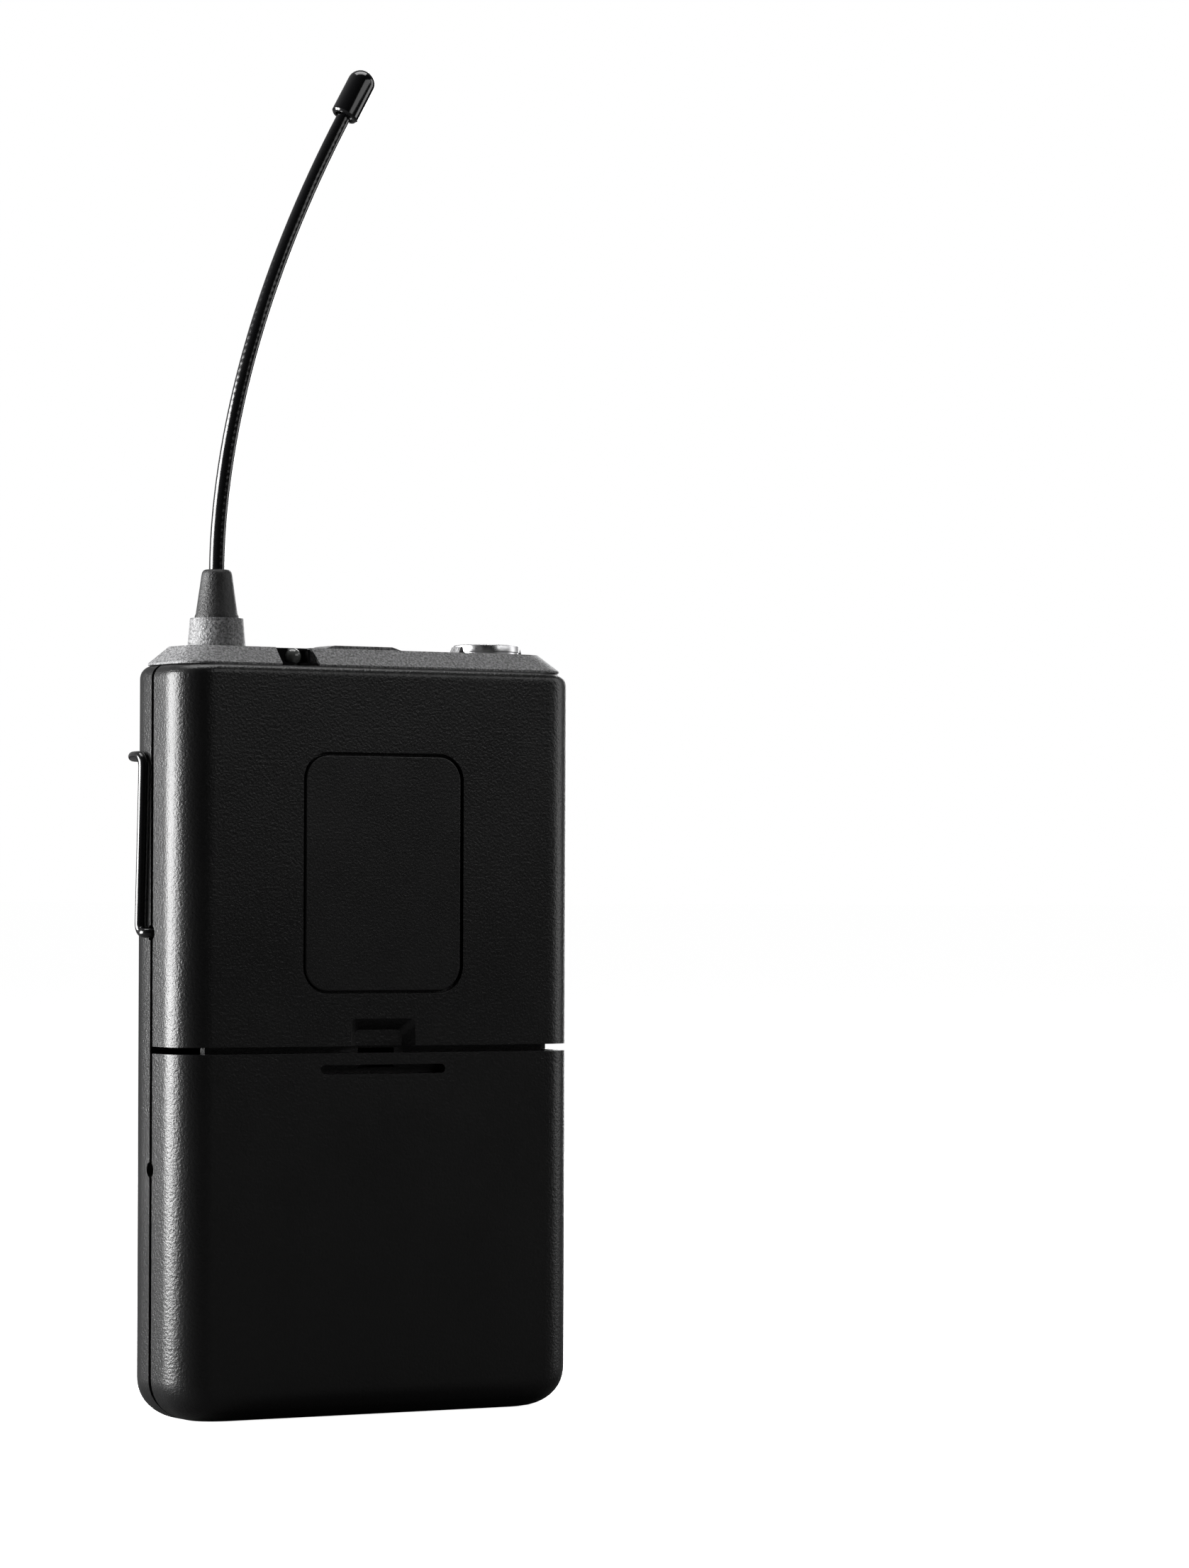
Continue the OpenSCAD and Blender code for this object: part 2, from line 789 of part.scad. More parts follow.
module belt_clip_legs() {
    color([0.03, 0.03, 0.035]) both_sides()
        wire([[-socket_in - 0.1, 0, upper_hole_z], [-clip_x, 0, upper_hole_z],
              [-clip_x, 2.1, upper_hole_z], [-clip_x, 1, clip_top_z],
              [-clip_x, clip_back, clip_top_z], [-leg_end_x, clip_back, clip_top_z]],
             [0.75, 1.3, 1.6, wrap_r], [0, 1, 0.2]);
}

// The tongue runs in from each leg, turns down the back and flares out at its lower end
module belt_clip_tongue() {
    bend_z = clip_top_z - tongue_l + 10;
    flare_z = clip_top_z - tongue_l;
    near_y = clip_back - 0.35;
    flare_y = clip_back + 3.4;
    color([0.03, 0.03, 0.035])
        wire([[-leg_end_x + 0.05, clip_back, clip_top_z], [-tongue_half, clip_back, clip_top_z],
              [-tongue_half, near_y, bend_z], [-tongue_half + 1, flare_y, flare_z],
              [tongue_half - 1, flare_y, flare_z], [tongue_half, near_y, bend_z],
              [tongue_half, clip_back, clip_top_z], [leg_end_x - 0.05, clip_back, clip_top_z]],
             [2.2, 8, 4.5, 4.5, 8, 2.2], [0, 1, 0.2]);
}

// ---------- batteries and their tray ----------

module battery_tray() {
    color([0.09, 0.09, 0.1]) difference() {
        union() {
            intersection() {
                tray_walls();
                translate([0, 0, tray_low]) linear_extrude(tray_top - tray_low)
                    plan_outline(wall + fit_gap);
            }
            both_sides() hinge_lug();
        }
        for (z = [cell_low_z, cell_high_z]) bar(-bay_half, bay_half, cell_y, z, cell_r + 0.12);
        for (x = [-post_x, post_x]) {
            stud(x, tray_screw_z, control_y - 1, tray_back + 1, screw_r + 0.02);
            stud(x, tray_screw_z, control_y - 1, control_y + 0.9, 1.9);
        }
        both_sides() {
            socket_relief();
            block([bay_half - plate_t, cell_y - plate_half, cell_low_z - plate_half],
                  [bay_half, cell_y + plate_half, cell_high_z + plate_half]);
        }
        stud(trimmer_x, trimmer_z, control_y - 1, control_y + 2, trimmer_r + 0.3);
        block([6, control_y - 1, trimmer_z - 2.2], [16, control_y + 2, trimmer_z + 2.2]);
    }
}

// Floor, cradle, shelf and end walls of the cell bay, and the upright that carries the controls
module tray_walls() {
    block([-tray_half, tray_front, tray_low], [tray_half, tray_back, tray_low + tray_floor]);
    block([-bay_half, 1.6, tray_low + 1], [bay_half, tray_back, shelf_z + 0.2]);
    block([-tray_half, tray_front + 1, shelf_z], [tray_half, tray_back, shelf_z + shelf_t]);
    block([-tray_half, control_y, shelf_z], [tray_half, control_y + 1, tray_top]);
    both_sides() {
        block([bay_half, tray_front, tray_low], [tray_half, tray_back, shelf_z + shelf_t]);
        block([post_x - 2.2, control_y, shelf_z], [post_x + 2.2, tray_back, tray_top]);
    }
}

// Room for the shell's lower clip socket beside the tray
module socket_relief() {
    block([socket_in - 0.2, -2.3, lower_hole_z - 2.4], [tray_half + 1, 6.4, lower_hole_z + 2.4]);
}

// A lug hangs below the tray and holds the hinge pin
module hinge_lug() {
    difference() {
        union() {
            bar(lug_in, lug_out, pin_y, pin_z, 2.2);
            block([lug_in, pin_y - 1.3, pin_z], [lug_out, pin_y + 1.4, tray_low + slit]);
        }
        bar(lug_in - 1, lug_out + 1, pin_y, pin_z, pin_r);
    }
}

// One cell: a can with a rolled shoulder at each end and the nub on its positive end
module cell(z, turn) {
    can_l = cell_l - nub_l;
    color([0.1, 0.25, 0.2]) translate([0, cell_y, z]) rotate([0, 90 + turn, 0])
        translate([0, 0, -can_l / 2 + cell_shift]) rotate_extrude()
            polygon([[0, 0], [cell_r - 1, 0], [cell_r, 0.6], [cell_r, can_l - 0.8],
                     [cell_r - 0.8, can_l - 0.1], [nub_r + 0.9, can_l - 0.1], [nub_r, can_l],
                     [nub_r, cell_l - 0.3], [nub_r - 0.3, cell_l], [0, cell_l]]);
}

module battery_cell_lower() {
    cell(cell_low_z, 0);
}

module battery_cell_upper() {
    cell(cell_high_z, 180);
}

// Sprung steel plates: two terminals at one end of the tray and one link across the other
module contact_plates() {
    x1 = bay_half;
    x0 = bay_half - plate_t;
    color([0.78, 0.76, 0.7]) {
        block([x0, cell_y - plate_half, cell_low_z - plate_half],
              [x1, cell_y + plate_half, cell_high_z + plate_half]);
        for (z = [cell_low_z, cell_high_z])
            block([-x1, cell_y - plate_half, z - plate_half], [-x0, cell_y + plate_half, z + plate_half]);
    }
}

// Conical spring against each cell's flat end
function spring_path(x_wide, x_narrow, z) =
    let (turns = 3.5, steps = 42)
    [for (i = [0:steps]) let (t = i / steps, a = 360 * turns * t, r = 4 - 1.5 * t)
     [x_wide + (x_narrow - x_wide) * t, cell_y + r * cos(a), z + r * sin(a)]];

module contact_springs() {
    can_end = (cell_l - nub_l) / 2 - cell_shift;
    wide = bay_half - plate_t - spring_wire_r - 0.02;
    narrow = can_end + spring_wire_r + 0.05;
    color([0.8, 0.8, 0.78]) {
        for (s = [[-wide, -narrow, cell_low_z], [wide, narrow, cell_high_z]]) {
            p = spring_path(s[0], s[1], s[2]);
            swept(p, [for (q = p) spring_wire_r], [1, 0, 0], 8);
        }
    }
}

module control_board() {
    color([0.05, 0.28, 0.16])
        block([-post_x + 2.6, control_y + 1.05, shelf_z + shelf_t + 0.1],
              [post_x - 2.6, control_y + 2.25, tray_top - 0.4]);
}

module trimmer_body() {
    color([0.75, 0.74, 0.68])
        difference() {
            block([trimmer_x - 1.9, control_y - 0.4, trimmer_z - 1.9],
                  [trimmer_x + 1.9, control_y + 1.05, trimmer_z + 1.9]);
            stud(trimmer_x, trimmer_z, control_y - 1, control_y + 0.5, 1.5);
        }
}

// Rotor of the gain control, with a screwdriver slot
module gain_trimmer() {
    color([0.9, 0.9, 0.88])
        difference() {
            stud(trimmer_x, trimmer_z, control_y - 0.9, control_y + 0.45, 1.44);
            block([trimmer_x - 0.25, control_y - 1, trimmer_z - 1.1],
                  [trimmer_x + 0.25, control_y - 0.3, trimmer_z + 1.1]);
        }
}

// Block of four small slides that sets the channel
module channel_switch() {
    color([0.75, 0.12, 0.1]) difference() {
        block([6.4, control_y - 0.5, trimmer_z - 1.9], [15.6, control_y + 1.05, trimmer_z + 1.9]);
        for (i = [0:3]) block([7.1 + i * 2.15, control_y - 1, trimmer_z - 1.2],
                              [8.4 + i * 2.15, control_y - 0.1, trimmer_z + 1.2]);
    }
    color([0.95, 0.95, 0.92]) for (i = [0:3])
        block([7.15 + i * 2.15, control_y - 0.6, trimmer_z + (i % 2) * 1.15 - 1.15],
              [8.35 + i * 2.15, control_y - 0.1, trimmer_z + (i % 2) * 1.15]);
}

// ---------- main board ----------

module main_board() {
    color([0.04, 0.3, 0.17]) difference() {
        block([-board_half, board_y, board_low], [board_half, board_y + board_t, board_high]);
        for (x = [-post_x, post_x], z = board_post_z)
            stud(x, z, board_y - 1, board_y + board_t + 1, screw_r + 0.1);
        both_sides() block([22, board_y - 1, board_low - 1], [board_half + 1, board_y + 3, 61]);
    }
}

module shield_can() {
    color([0.78, 0.78, 0.8]) difference() {
        block([-19, board_y - 3.2, 72], [1, board_y, 91]);
        block([-18.7, board_y - 2.9, 72.3], [0.7, board_y + 1, 90.7]);
        for (x = [-16.5:3:-1.5], z = [75, 88]) stud(x, z, board_y - 4, board_y - 2, 0.5);
    }
}

module chip(x, z, w, h, t) {
    block([x - w / 2, board_y - t, z - h / 2], [x + w / 2, board_y, z + h / 2]);
}

module circuit_chips() {
    color([0.08, 0.08, 0.09]) {
        chip(10.5, 86, 7, 7, 1.2);
        chip(18, 74, 5, 6.2, 1.4);
        chip(-13, 63, 9, 5, 1.5);
        chip(2.5, 60.5, 4, 5, 1.3);
        for (x = [6:3:15]) chip(x, 67, 1.6, 0.9, 0.6);
        for (z = [78:2.2:90]) chip(4.4, z, 1.6, 0.9, 0.6);
    }
}

module crystal_can() {
    color([0.82, 0.82, 0.84]) upright(board_y - 3.4, board_y) translate([8.5, 74])
        soft_rect([-2.2, -2], [5.6, 2], [1.9, 1.9, 1.9, 1.9]);
}

module capacitors() {
    color([0.12, 0.12, 0.2])
        for (q = [[19, 83, 2.6, 5.6], [17.5, 90, 2, 5], [17, 60.5, 2, 5], [11.5, 60.5, 2, 5]])
            stud(q[0], q[1], board_y - q[3], board_y, q[2]);
}

module coils() {
    color([0.5, 0.28, 0.12]) for (x = [-20.5, -4.5]) difference() {
        stud(x, 68, board_y - 3, board_y, 2.6);
        stud(x, 68, board_y - 4, board_y - 1, 1);
    }
}

// Small board across the jack's solder tails
module jack_board() {
    z = barrel_low - 1.5;
    color([0.04, 0.3, 0.17]) difference() {
        block([jack_x - 4, -4, z - 1], [jack_x + 4, 1.9, z]);
        for (a = [90:120:330]) translate([jack_x, 0, 0]) rotate(a)
            translate([pin_circle_r, 0, z - 2]) cylinder(h = 4, r = 0.55);
    }
}

// ---------- screws ----------

module tray_screws() {
    color([0.6, 0.6, 0.62]) mirror([0, 1, 0])
        for (x = [-post_x, post_x]) screw(x, tray_screw_z, -inner_y - 0.9, -control_y - 0.9);
}

module board_screws() {
    color([0.7, 0.7, 0.72]) mirror([0, 1, 0])
        for (x = [-post_x, post_x], z = board_post_z) screw(x, z, -inner_y + 1.2, -board_y);
}

module case_screws() {
    color([0.2, 0.2, 0.22])
        for (q = case_posts) screw(q[0], q[1], -4, half_d - 2.6);
}

module cap_screws() {
    color([0.7, 0.7, 0.72])
        for (x = cap_post_x)
            translate([x, 0, body_h - skirt_h]) rotate([-90, 0, 0]) screw(0, 0, -2.9, 0);
}

rear_shell();
front_cover();
inlay_plate();
battery_door();
door_hinge_pins();
top_cap();
led_bezel();
led_lens();
power_switch();
switch_body();
antenna_foot();
antenna_boot();
antenna_whip();
antenna_tip();
jack_shell();
jack_insulator();
jack_pins();
jack_nut();
belt_clip_legs();
belt_clip_tongue();
battery_tray();
battery_cell_lower();
battery_cell_upper();
contact_plates();
contact_springs();
control_board();
trimmer_body();
gain_trimmer();
channel_switch();
main_board();
shield_can();
circuit_chips();
crystal_can();
capacitors();
coils();
jack_board();
tray_screws();
board_screws();
case_screws();
cap_screws();
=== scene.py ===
# %% [markdown]
# # A wireless bodypack transmitter
# The transmitter is a flat black pack that hangs on a belt. Its case is two moulded halves with a
# battery door, a grey end cap on top, a bent whip antenna, a plated jack and a clip of spring wire.
# The imported CAD model is the frame: every visible piece here takes its place from it. This first
# cell loads that frame and keeps its parts, whose boxes give the sizes below.

# %% Load the frame
from math import acos, atan2, cos, pi, radians, sin, sqrt, tan

import bmesh
import bpy
from mathutils import Matrix, Vector


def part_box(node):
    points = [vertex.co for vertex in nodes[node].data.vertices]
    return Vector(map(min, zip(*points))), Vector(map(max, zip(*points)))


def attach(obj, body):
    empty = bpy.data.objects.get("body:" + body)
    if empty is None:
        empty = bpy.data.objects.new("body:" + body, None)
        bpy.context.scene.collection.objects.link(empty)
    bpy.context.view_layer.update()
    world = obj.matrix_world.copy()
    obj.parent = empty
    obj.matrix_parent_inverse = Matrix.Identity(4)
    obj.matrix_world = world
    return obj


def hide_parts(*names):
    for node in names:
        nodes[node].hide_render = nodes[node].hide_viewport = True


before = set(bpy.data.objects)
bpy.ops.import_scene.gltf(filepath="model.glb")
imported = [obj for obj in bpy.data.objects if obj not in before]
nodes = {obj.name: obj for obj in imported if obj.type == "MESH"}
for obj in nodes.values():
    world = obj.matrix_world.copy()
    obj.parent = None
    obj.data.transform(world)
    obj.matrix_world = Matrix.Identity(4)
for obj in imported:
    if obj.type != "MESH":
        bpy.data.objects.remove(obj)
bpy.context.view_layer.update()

MM = 0.001
scene = bpy.context.scene

# %% [markdown]
# The driving sizes are read from the frame, not typed in again. The box of the rear shell gives the
# width, height and half depth of the pack, and the door's box gives the line where it ends.

# %% Sizes from the frame
rear_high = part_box("rear_shell")[1]
half_w = rear_high.x
half_d = rear_high.y
body_h = rear_high.z
door_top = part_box("battery_door")[1].z
cover_low = door_top + 1.0 * MM
pin_low, pin_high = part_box("door_hinge_pins")
pin_y = (pin_low.y + pin_high.y) / 2
pin_z = (pin_low.z + pin_high.z) / 2
wall = 1.6 * MM
seam = 0.4 * MM
print("pack %.1f x %.1f x %.1f mm" % (2000 * half_w, 2000 * half_d, 1000 * body_h))

# %% [markdown]
# ## Camera, light and floor
# The pack is seen from its left front, level with its middle, through a long lens. A long lens keeps
# the upright edges almost parallel, as in a product picture. The vertical shift keeps them upright
# while the antenna still fits in the frame.

# %% Camera
YAW = radians(30.66)
ROLL = radians(0.26)
camera_data = bpy.data.cameras.new("camera")
camera_data.lens = 124.36
camera_data.sensor_width = 36
camera_data.shift_y = 0.0689
camera = bpy.data.objects.new("camera", camera_data)
camera.matrix_world = (Matrix.Translation((-0.3710, -0.6946, 0.0755)) @ Matrix.Rotation(-YAW, 4, "Z")
                       @ Matrix.Rotation(pi / 2, 4, "X") @ Matrix.Rotation(ROLL, 4, "Z"))
scene.collection.objects.link(camera)
scene.camera = camera
scene.view_settings.view_transform = "Standard"
print("camera is %.2f m from the pack" % camera.location.length)

# %% [markdown]
# Glossy black plastic shows its light, not its colour. So the surroundings do the work: a white
# backdrop behind the pack draws the side and the rims, the room in front is dark and keeps the flat
# front deep black, and one tall soft light at the left draws the long highlight on the rounded edge.
# The backdrop is plain white to the camera from any side.

# %% Backdrop light


def node(tree, kind, **settings):
    made = tree.nodes.new(kind)
    for key, value in settings.items():
        setattr(made, key, value)
    return made


def surroundings():
    world = bpy.data.worlds.new("studio")
    scene.world = world
    world.use_nodes = True
    tree = world.node_tree
    tree.nodes.clear()
    place = node(tree, "ShaderNodeTexCoord")
    split = node(tree, "ShaderNodeSeparateXYZ")
    front_to_back = node(tree, "ShaderNodeMapRange", interpolation_type="SMOOTHSTEP")
    front_to_back.inputs["From Min"].default_value = -0.25
    front_to_back.inputs["From Max"].default_value = 0.85
    front_to_back.inputs["To Min"].default_value = 0.011
    front_to_back.inputs["To Max"].default_value = 0.26
    room = node(tree, "ShaderNodeBackground")
    seen = node(tree, "ShaderNodeBackground")
    seen.inputs["Strength"].default_value = 1.0
    seen.inputs["Color"].default_value = (1, 1, 1, 1)
    ray = node(tree, "ShaderNodeLightPath")
    mix = node(tree, "ShaderNodeMixShader")
    out = node(tree, "ShaderNodeOutputWorld")
    tree.links.new(place.outputs["Generated"], split.inputs[0])
    tree.links.new(split.outputs["Y"], front_to_back.inputs["Value"])
    tree.links.new(front_to_back.outputs[0], room.inputs["Strength"])
    tree.links.new(ray.outputs["Is Camera Ray"], mix.inputs[0])
    tree.links.new(room.outputs[0], mix.inputs[1])
    tree.links.new(seen.outputs[0], mix.inputs[2])
    tree.links.new(mix.outputs[0], out.inputs["Surface"])


def soft_light(name, place, aim, width, height, power):
    data = bpy.data.lights.new(name, "AREA")
    data.shape = "RECTANGLE"
    data.size = width
    data.size_y = height
    data.energy = power
    lamp = bpy.data.objects.new(name, data)
    lamp.location = place
    lamp.rotation_euler = (Vector(aim) - Vector(place)).to_track_quat("-Z", "Y").to_euler()
    scene.collection.objects.link(lamp)
    return lamp


surroundings()
soft_light("key_left", (-0.72, 0.335, 0.10), (0, 0, 0.07), 0.58, 0.78, 26)
soft_light("key_low", (-0.50, 0.23, 0.02), (0, 0, 0.02), 0.36, 0.05, 1.6)
soft_light("top", (0.05, 0.10, 0.95), (0, 0, 0.1), 0.8, 0.5, 5)
soft_light("rim_right", (0.73, -0.16, 0.12), (0, 0, 0.07), 0.30, 0.9, 1.7)
soft_light("rim_back", (0.52, 0.55, 0.16), (0, 0, 0.09), 0.3, 0.7, 3.0)
soft_light("front_fill", (0.34, -0.50, 0.36), (0, 0, 0.08), 0.5, 0.25, 0.62)

# %% [markdown]
# The floor is a plain pale sheet. It is far wider than the picture, so that its edge never shows.
# To the camera it glows a little, as paper lit from all round does, and the pack sees it dimmer, as
# if dark cards stood just outside the picture.

# %% Floor


def floor_paper():
    material = bpy.data.materials.new("floor_paper")
    material.use_nodes = True
    tree = material.node_tree
    tree.nodes.clear()
    pale = node(tree, "ShaderNodeBsdfDiffuse")
    pale.inputs["Color"].default_value = (0.9, 0.9, 0.9, 1)
    dim = node(tree, "ShaderNodeBsdfDiffuse")
    dim.inputs["Color"].default_value = (0.10, 0.10, 0.10, 1)
    glow = node(tree, "ShaderNodeEmission")
    glow.inputs["Color"].default_value = (1, 1, 1, 1)
    glow.inputs["Strength"].default_value = 0.93
    both = node(tree, "ShaderNodeAddShader")
    ray = node(tree, "ShaderNodeLightPath")
    mix = node(tree, "ShaderNodeMixShader")
    out = node(tree, "ShaderNodeOutputMaterial")
    tree.links.new(pale.outputs[0], both.inputs[0])
    tree.links.new(glow.outputs[0], both.inputs[1])
    tree.links.new(ray.outputs["Is Camera Ray"], mix.inputs[0])
    tree.links.new(dim.outputs[0], mix.inputs[1])
    tree.links.new(both.outputs[0], mix.inputs[2])
    tree.links.new(mix.outputs[0], out.inputs["Surface"])
    return material


FLOOR_HALF = 30
bm = bmesh.new()
bmesh.ops.create_grid(bm, x_segments=1, y_segments=1, size=FLOOR_HALF)
floor_mesh = bpy.data.meshes.new("floor")
bm.to_mesh(floor_mesh)
bm.free()
floor = bpy.data.objects.new("floor", floor_mesh)
floor_mesh.materials.append(floor_paper())
scene.collection.objects.link(floor)
print("floor is", 2 * FLOOR_HALF, "m across")

# %% [markdown]
# ## Finishes
# A moulded surface is not one flat value. The mould is spark eroded, which leaves fine grains that
# break up every highlight, and the gloss drifts slowly over the surface. Both come from noise on
# Object coordinates, in metres, so a scale of 1 / grain size gives grains of the real size.

# %% Helpers for finishes


def finish(name, colour, roughness, metallic=0.0, specular=0.5, coat=0.0):
    material = bpy.data.materials.new(name)
    material.use_nodes = True
    material.diffuse_color = (*colour, 1)
    shader = material.node_tree.nodes["Principled BSDF"]
    shader.inputs["Base Color"].default_value = (*colour, 1)
    shader.inputs["Roughness"].default_value = roughness
    shader.inputs["Metallic"].default_value = metallic
    shader.inputs["Specular IOR Level"].default_value = specular
    shader.inputs["Coat Weight"].default_value = coat
    return material


def pattern(material, kind, size, stretch=(1, 1, 1), **settings):
    """A texture node on Object coordinates whose features are about size metres across."""
    tree = material.node_tree
    place = node(tree, "ShaderNodeTexCoord")
    mapping = node(tree, "ShaderNodeMapping")
    mapping.inputs["Scale"].default_value = [amount / size for amount in stretch]
    texture = node(tree, kind, **settings)
    if "Scale" in texture.inputs:
        texture.inputs["Scale"].default_value = 1
    tree.links.new(place.outputs["Object"], mapping.inputs["Vector"])
    tree.links.new(mapping.outputs[0], texture.inputs["Vector"])
    return texture


def relief(material, height_socket, height):
    """Adds a bump of that height in metres, on top of any bump the material already has."""
    tree = material.node_tree
    shader = tree.nodes["Principled BSDF"]
    bump = node(tree, "ShaderNodeBump")
    bump.inputs["Distance"].default_value = height
    tree.links.new(height_socket, bump.inputs["Height"])
    for link in list(shader.inputs["Normal"].links):
        tree.links.new(link.from_socket, bump.inputs["Normal"])
    tree.links.new(bump.outputs[0], shader.inputs["Normal"])


def grain(material, size, height, detail=2.0):
    noise = pattern(material, "ShaderNodeTexNoise", size)
    noise.inputs["Detail"].default_value = detail
    noise.inputs["Roughness"].default_value = 0.6
    relief(material, noise.outputs[0], height)


def drift(material, size, socket_name, low, high):
    """Lets a shader value wander between low and high over the surface."""
    tree = material.node_tree
    noise = pattern(material, "ShaderNodeTexNoise", size)
    spread = node(tree, "ShaderNodeMapRange")
    spread.inputs["From Min"].default_value = 0.3
    spread.inputs["From Max"].default_value = 0.7
    spread.inputs["To Min"].default_value = low
    spread.inputs["To Max"].default_value = high
    tree.links.new(noise.outputs[0], spread.inputs["Value"])
    tree.links.new(spread.outputs[0], tree.nodes["Principled BSDF"].inputs[socket_name])


def tint(material, factor_socket, first, second, low=0.4, high=0.6):
    """Colours the surface between two colours by a texture."""
    tree = material.node_tree
    ramp = node(tree, "ShaderNodeValToRGB")
    ramp.color_ramp.elements[0].position = low
    ramp.color_ramp.elements[0].color = (*first, 1)
    ramp.color_ramp.elements[1].position = high
    ramp.color_ramp.elements[1].color = (*second, 1)
    tree.links.new(factor_socket, ramp.inputs["Fac"])
    tree.links.new(ramp.outputs[0], tree.nodes["Principled BSDF"].inputs["Base Color"])


print("finish helpers ready")

# %% [markdown]
# The case is satin black with a fine grain. The cap is the same kind of plastic in mid grey with a
# much coarser grain, which gives it its sparkle. The plated and wire parts are smooth.

# %% Finishes of the outside
case_black = finish("case_black", (0.0068, 0.0068, 0.0070), 0.32)
grain(case_black, 0.38 * MM, 0.07 * MM, 2)
drift(case_black, 14 * MM, "Roughness", 0.30, 0.34)

plate_black = finish("plate_black", (0.0068, 0.0068, 0.0071), 0.34)
grain(plate_black, 0.36 * MM, 0.05 * MM, 2)
drift(plate_black, 9 * MM, "Roughness", 0.32, 0.37)

cap_grey = finish("cap_grey", (0.16, 0.16, 0.163), 0.46)
cap_speckle = pattern(cap_grey, "ShaderNodeTexNoise", 0.32 * MM)
cap_speckle.inputs["Detail"].default_value = 3
tint(cap_grey, cap_speckle.outputs[0], (0.07, 0.07, 0.072), (0.32, 0.32, 0.325), 0.36, 0.66)
grain(cap_grey, 0.36 * MM, 0.16 * MM, 3)

gloss_black = finish("gloss_black", (0.006, 0.006, 0.0065), 0.14, coat=0.3)
grain(gloss_black, 1.8 * MM, 0.010 * MM)

wire_black = finish("wire_black", (0.007, 0.007, 0.0075), 0.17, coat=0.4)
grain(wire_black, 0.9 * MM, 0.014 * MM, 3)

boot_rubber = finish("boot_rubber", (0.016, 0.016, 0.0165), 0.50, specular=0.45)
grain(boot_rubber, 0.34 * MM, 0.13 * MM, 3)

whip_black = finish("whip_black", (0.006, 0.006, 0.0065), 0.20, coat=0.35)
grain(whip_black, 0.7 * MM, 0.016 * MM, 2)
coil_rings = pattern(whip_black, "ShaderNodeTexWave", 3.0 * MM, bands_direction="Z")
coil_rings.inputs["Distortion"].default_value = 1.5
relief(whip_black, coil_rings.outputs[0], 0.012 * MM)

jack_plate = finish("jack_plate", (0.74, 0.74, 0.75), 0.30, metallic=1.0)
grain(jack_plate, 0.5 * MM, 0.012 * MM, 3)
drift(jack_plate, 1.6 * MM, "Roughness", 0.24, 0.40)

lamp_clear = finish("lamp_clear", (0.11, 0.115, 0.11), 0.08, coat=0.5)
grain(lamp_clear, 0.8 * MM, 0.004 * MM)
print("outside finishes:", len(bpy.data.materials) - 1)

# %% [markdown]
# ## The hull
# All three case mouldings share one outer form. Seen from above it is a rectangle with rounded
# corners, tighter at the front than at the back. Seen from the front its bottom corners are round,
# and seen from the side its bottom edge is round too. Bevelling a cube gives one radius everywhere,
# so the hull is grown instead: one face with bevelled corners, extruded level by level, and each
# level scaled to the width and depth that the two round profiles have at its height.

# %% Hull grown level by level
FRONT_R = 5.4 * MM
REAR_R = 7.2 * MM
BOTTOM_CORNER_R = 6 * MM
BOTTOM_EDGE_R = 4.2 * MM
TOP_CORNER_R = 2 * MM
TOP_EDGE_R = 1.2 * MM
ROUND_STEPS = 12


def drawn_in(depth, radius):
    """How far a rounded edge has drawn in at that depth from the end of the hull."""
    return radius - sqrt(max(radius ** 2 - (radius - min(depth, radius)) ** 2, 0))


def hull_levels(inset):
    """Height, half width and half depth of each level, from the bottom to the top."""
    low, high = inset, body_h - inset
    corner_low, edge_low = BOTTOM_CORNER_R - inset, BOTTOM_EDGE_R - inset
    corner_high, edge_high = max(TOP_CORNER_R - inset, wall / 4), max(TOP_EDGE_R - inset, wall / 4)
    steps = [i / ROUND_STEPS * pi / 2 for i in range(ROUND_STEPS + 1)]
    depths = [(corner_low * (1 - cos(a)), corner_low, edge_low, low, 1) for a in steps]
    depths += [(corner_high * (1 - cos(a)), corner_high, edge_high, high, -1) for a in reversed(steps)]
    full_x, full_y = half_w - inset, half_d - inset
    return [(end + way * depth, full_x - drawn_in(depth, corner), full_y - drawn_in(depth, edge))
            for depth, corner, edge, end, way in depths]


def rounded_face(bm, half_x, half_y, front_r, rear_r, steps=ROUND_STEPS):
    """A flat face in the XY plane with its own radius at the front and rear corners."""
    made = bmesh.ops.create_grid(bm, x_segments=1, y_segments=1, size=1)["verts"]
    bmesh.ops.scale(bm, vec=(half_x, half_y, 1), verts=made)
    for side, radius in ((-1, front_r), (1, rear_r)):
        corners = [v for v in bm.verts if v.co.y * side > 0.9 * half_y and abs(v.co.x) > 0.9 * half_x]
        bmesh.ops.bevel(bm, geom=corners, offset=radius, segments=steps, profile=0.5,
                        affect="VERTICES", material=-1)
    return bm.faces[:][0] if len(bm.faces) == 1 else max(bm.faces, key=lambda f: f.calc_area())


def grow(bm, face, levels):
    """Extrudes a face through (height, half width, half depth) levels; the first is where it is."""
    height, half_x, half_y = levels[0]
    bmesh.ops.translate(bm, vec=(0, 0, height), verts=face.verts)
    for i, (z, x, y) in enumerate(levels[1:]):
        grown = bmesh.ops.extrude_face_region(bm, geom=[face])["geom"]
        verts = [g for g in grown if isinstance(g, bmesh.types.BMVert)]
        if i:
            bmesh.ops.delete(bm, geom=[face], context="FACES_ONLY")
        face = [g for g in grown if isinstance(g, bmesh.types.BMFace)][0]
        bmesh.ops.scale(bm, vec=(x / half_x, y / half_y, 1), verts=verts)
        bmesh.ops.translate(bm, vec=(0, 0, z - height), verts=verts)
        height, half_x, half_y = z, x, y
    bmesh.ops.recalc_face_normals(bm, faces=bm.faces)


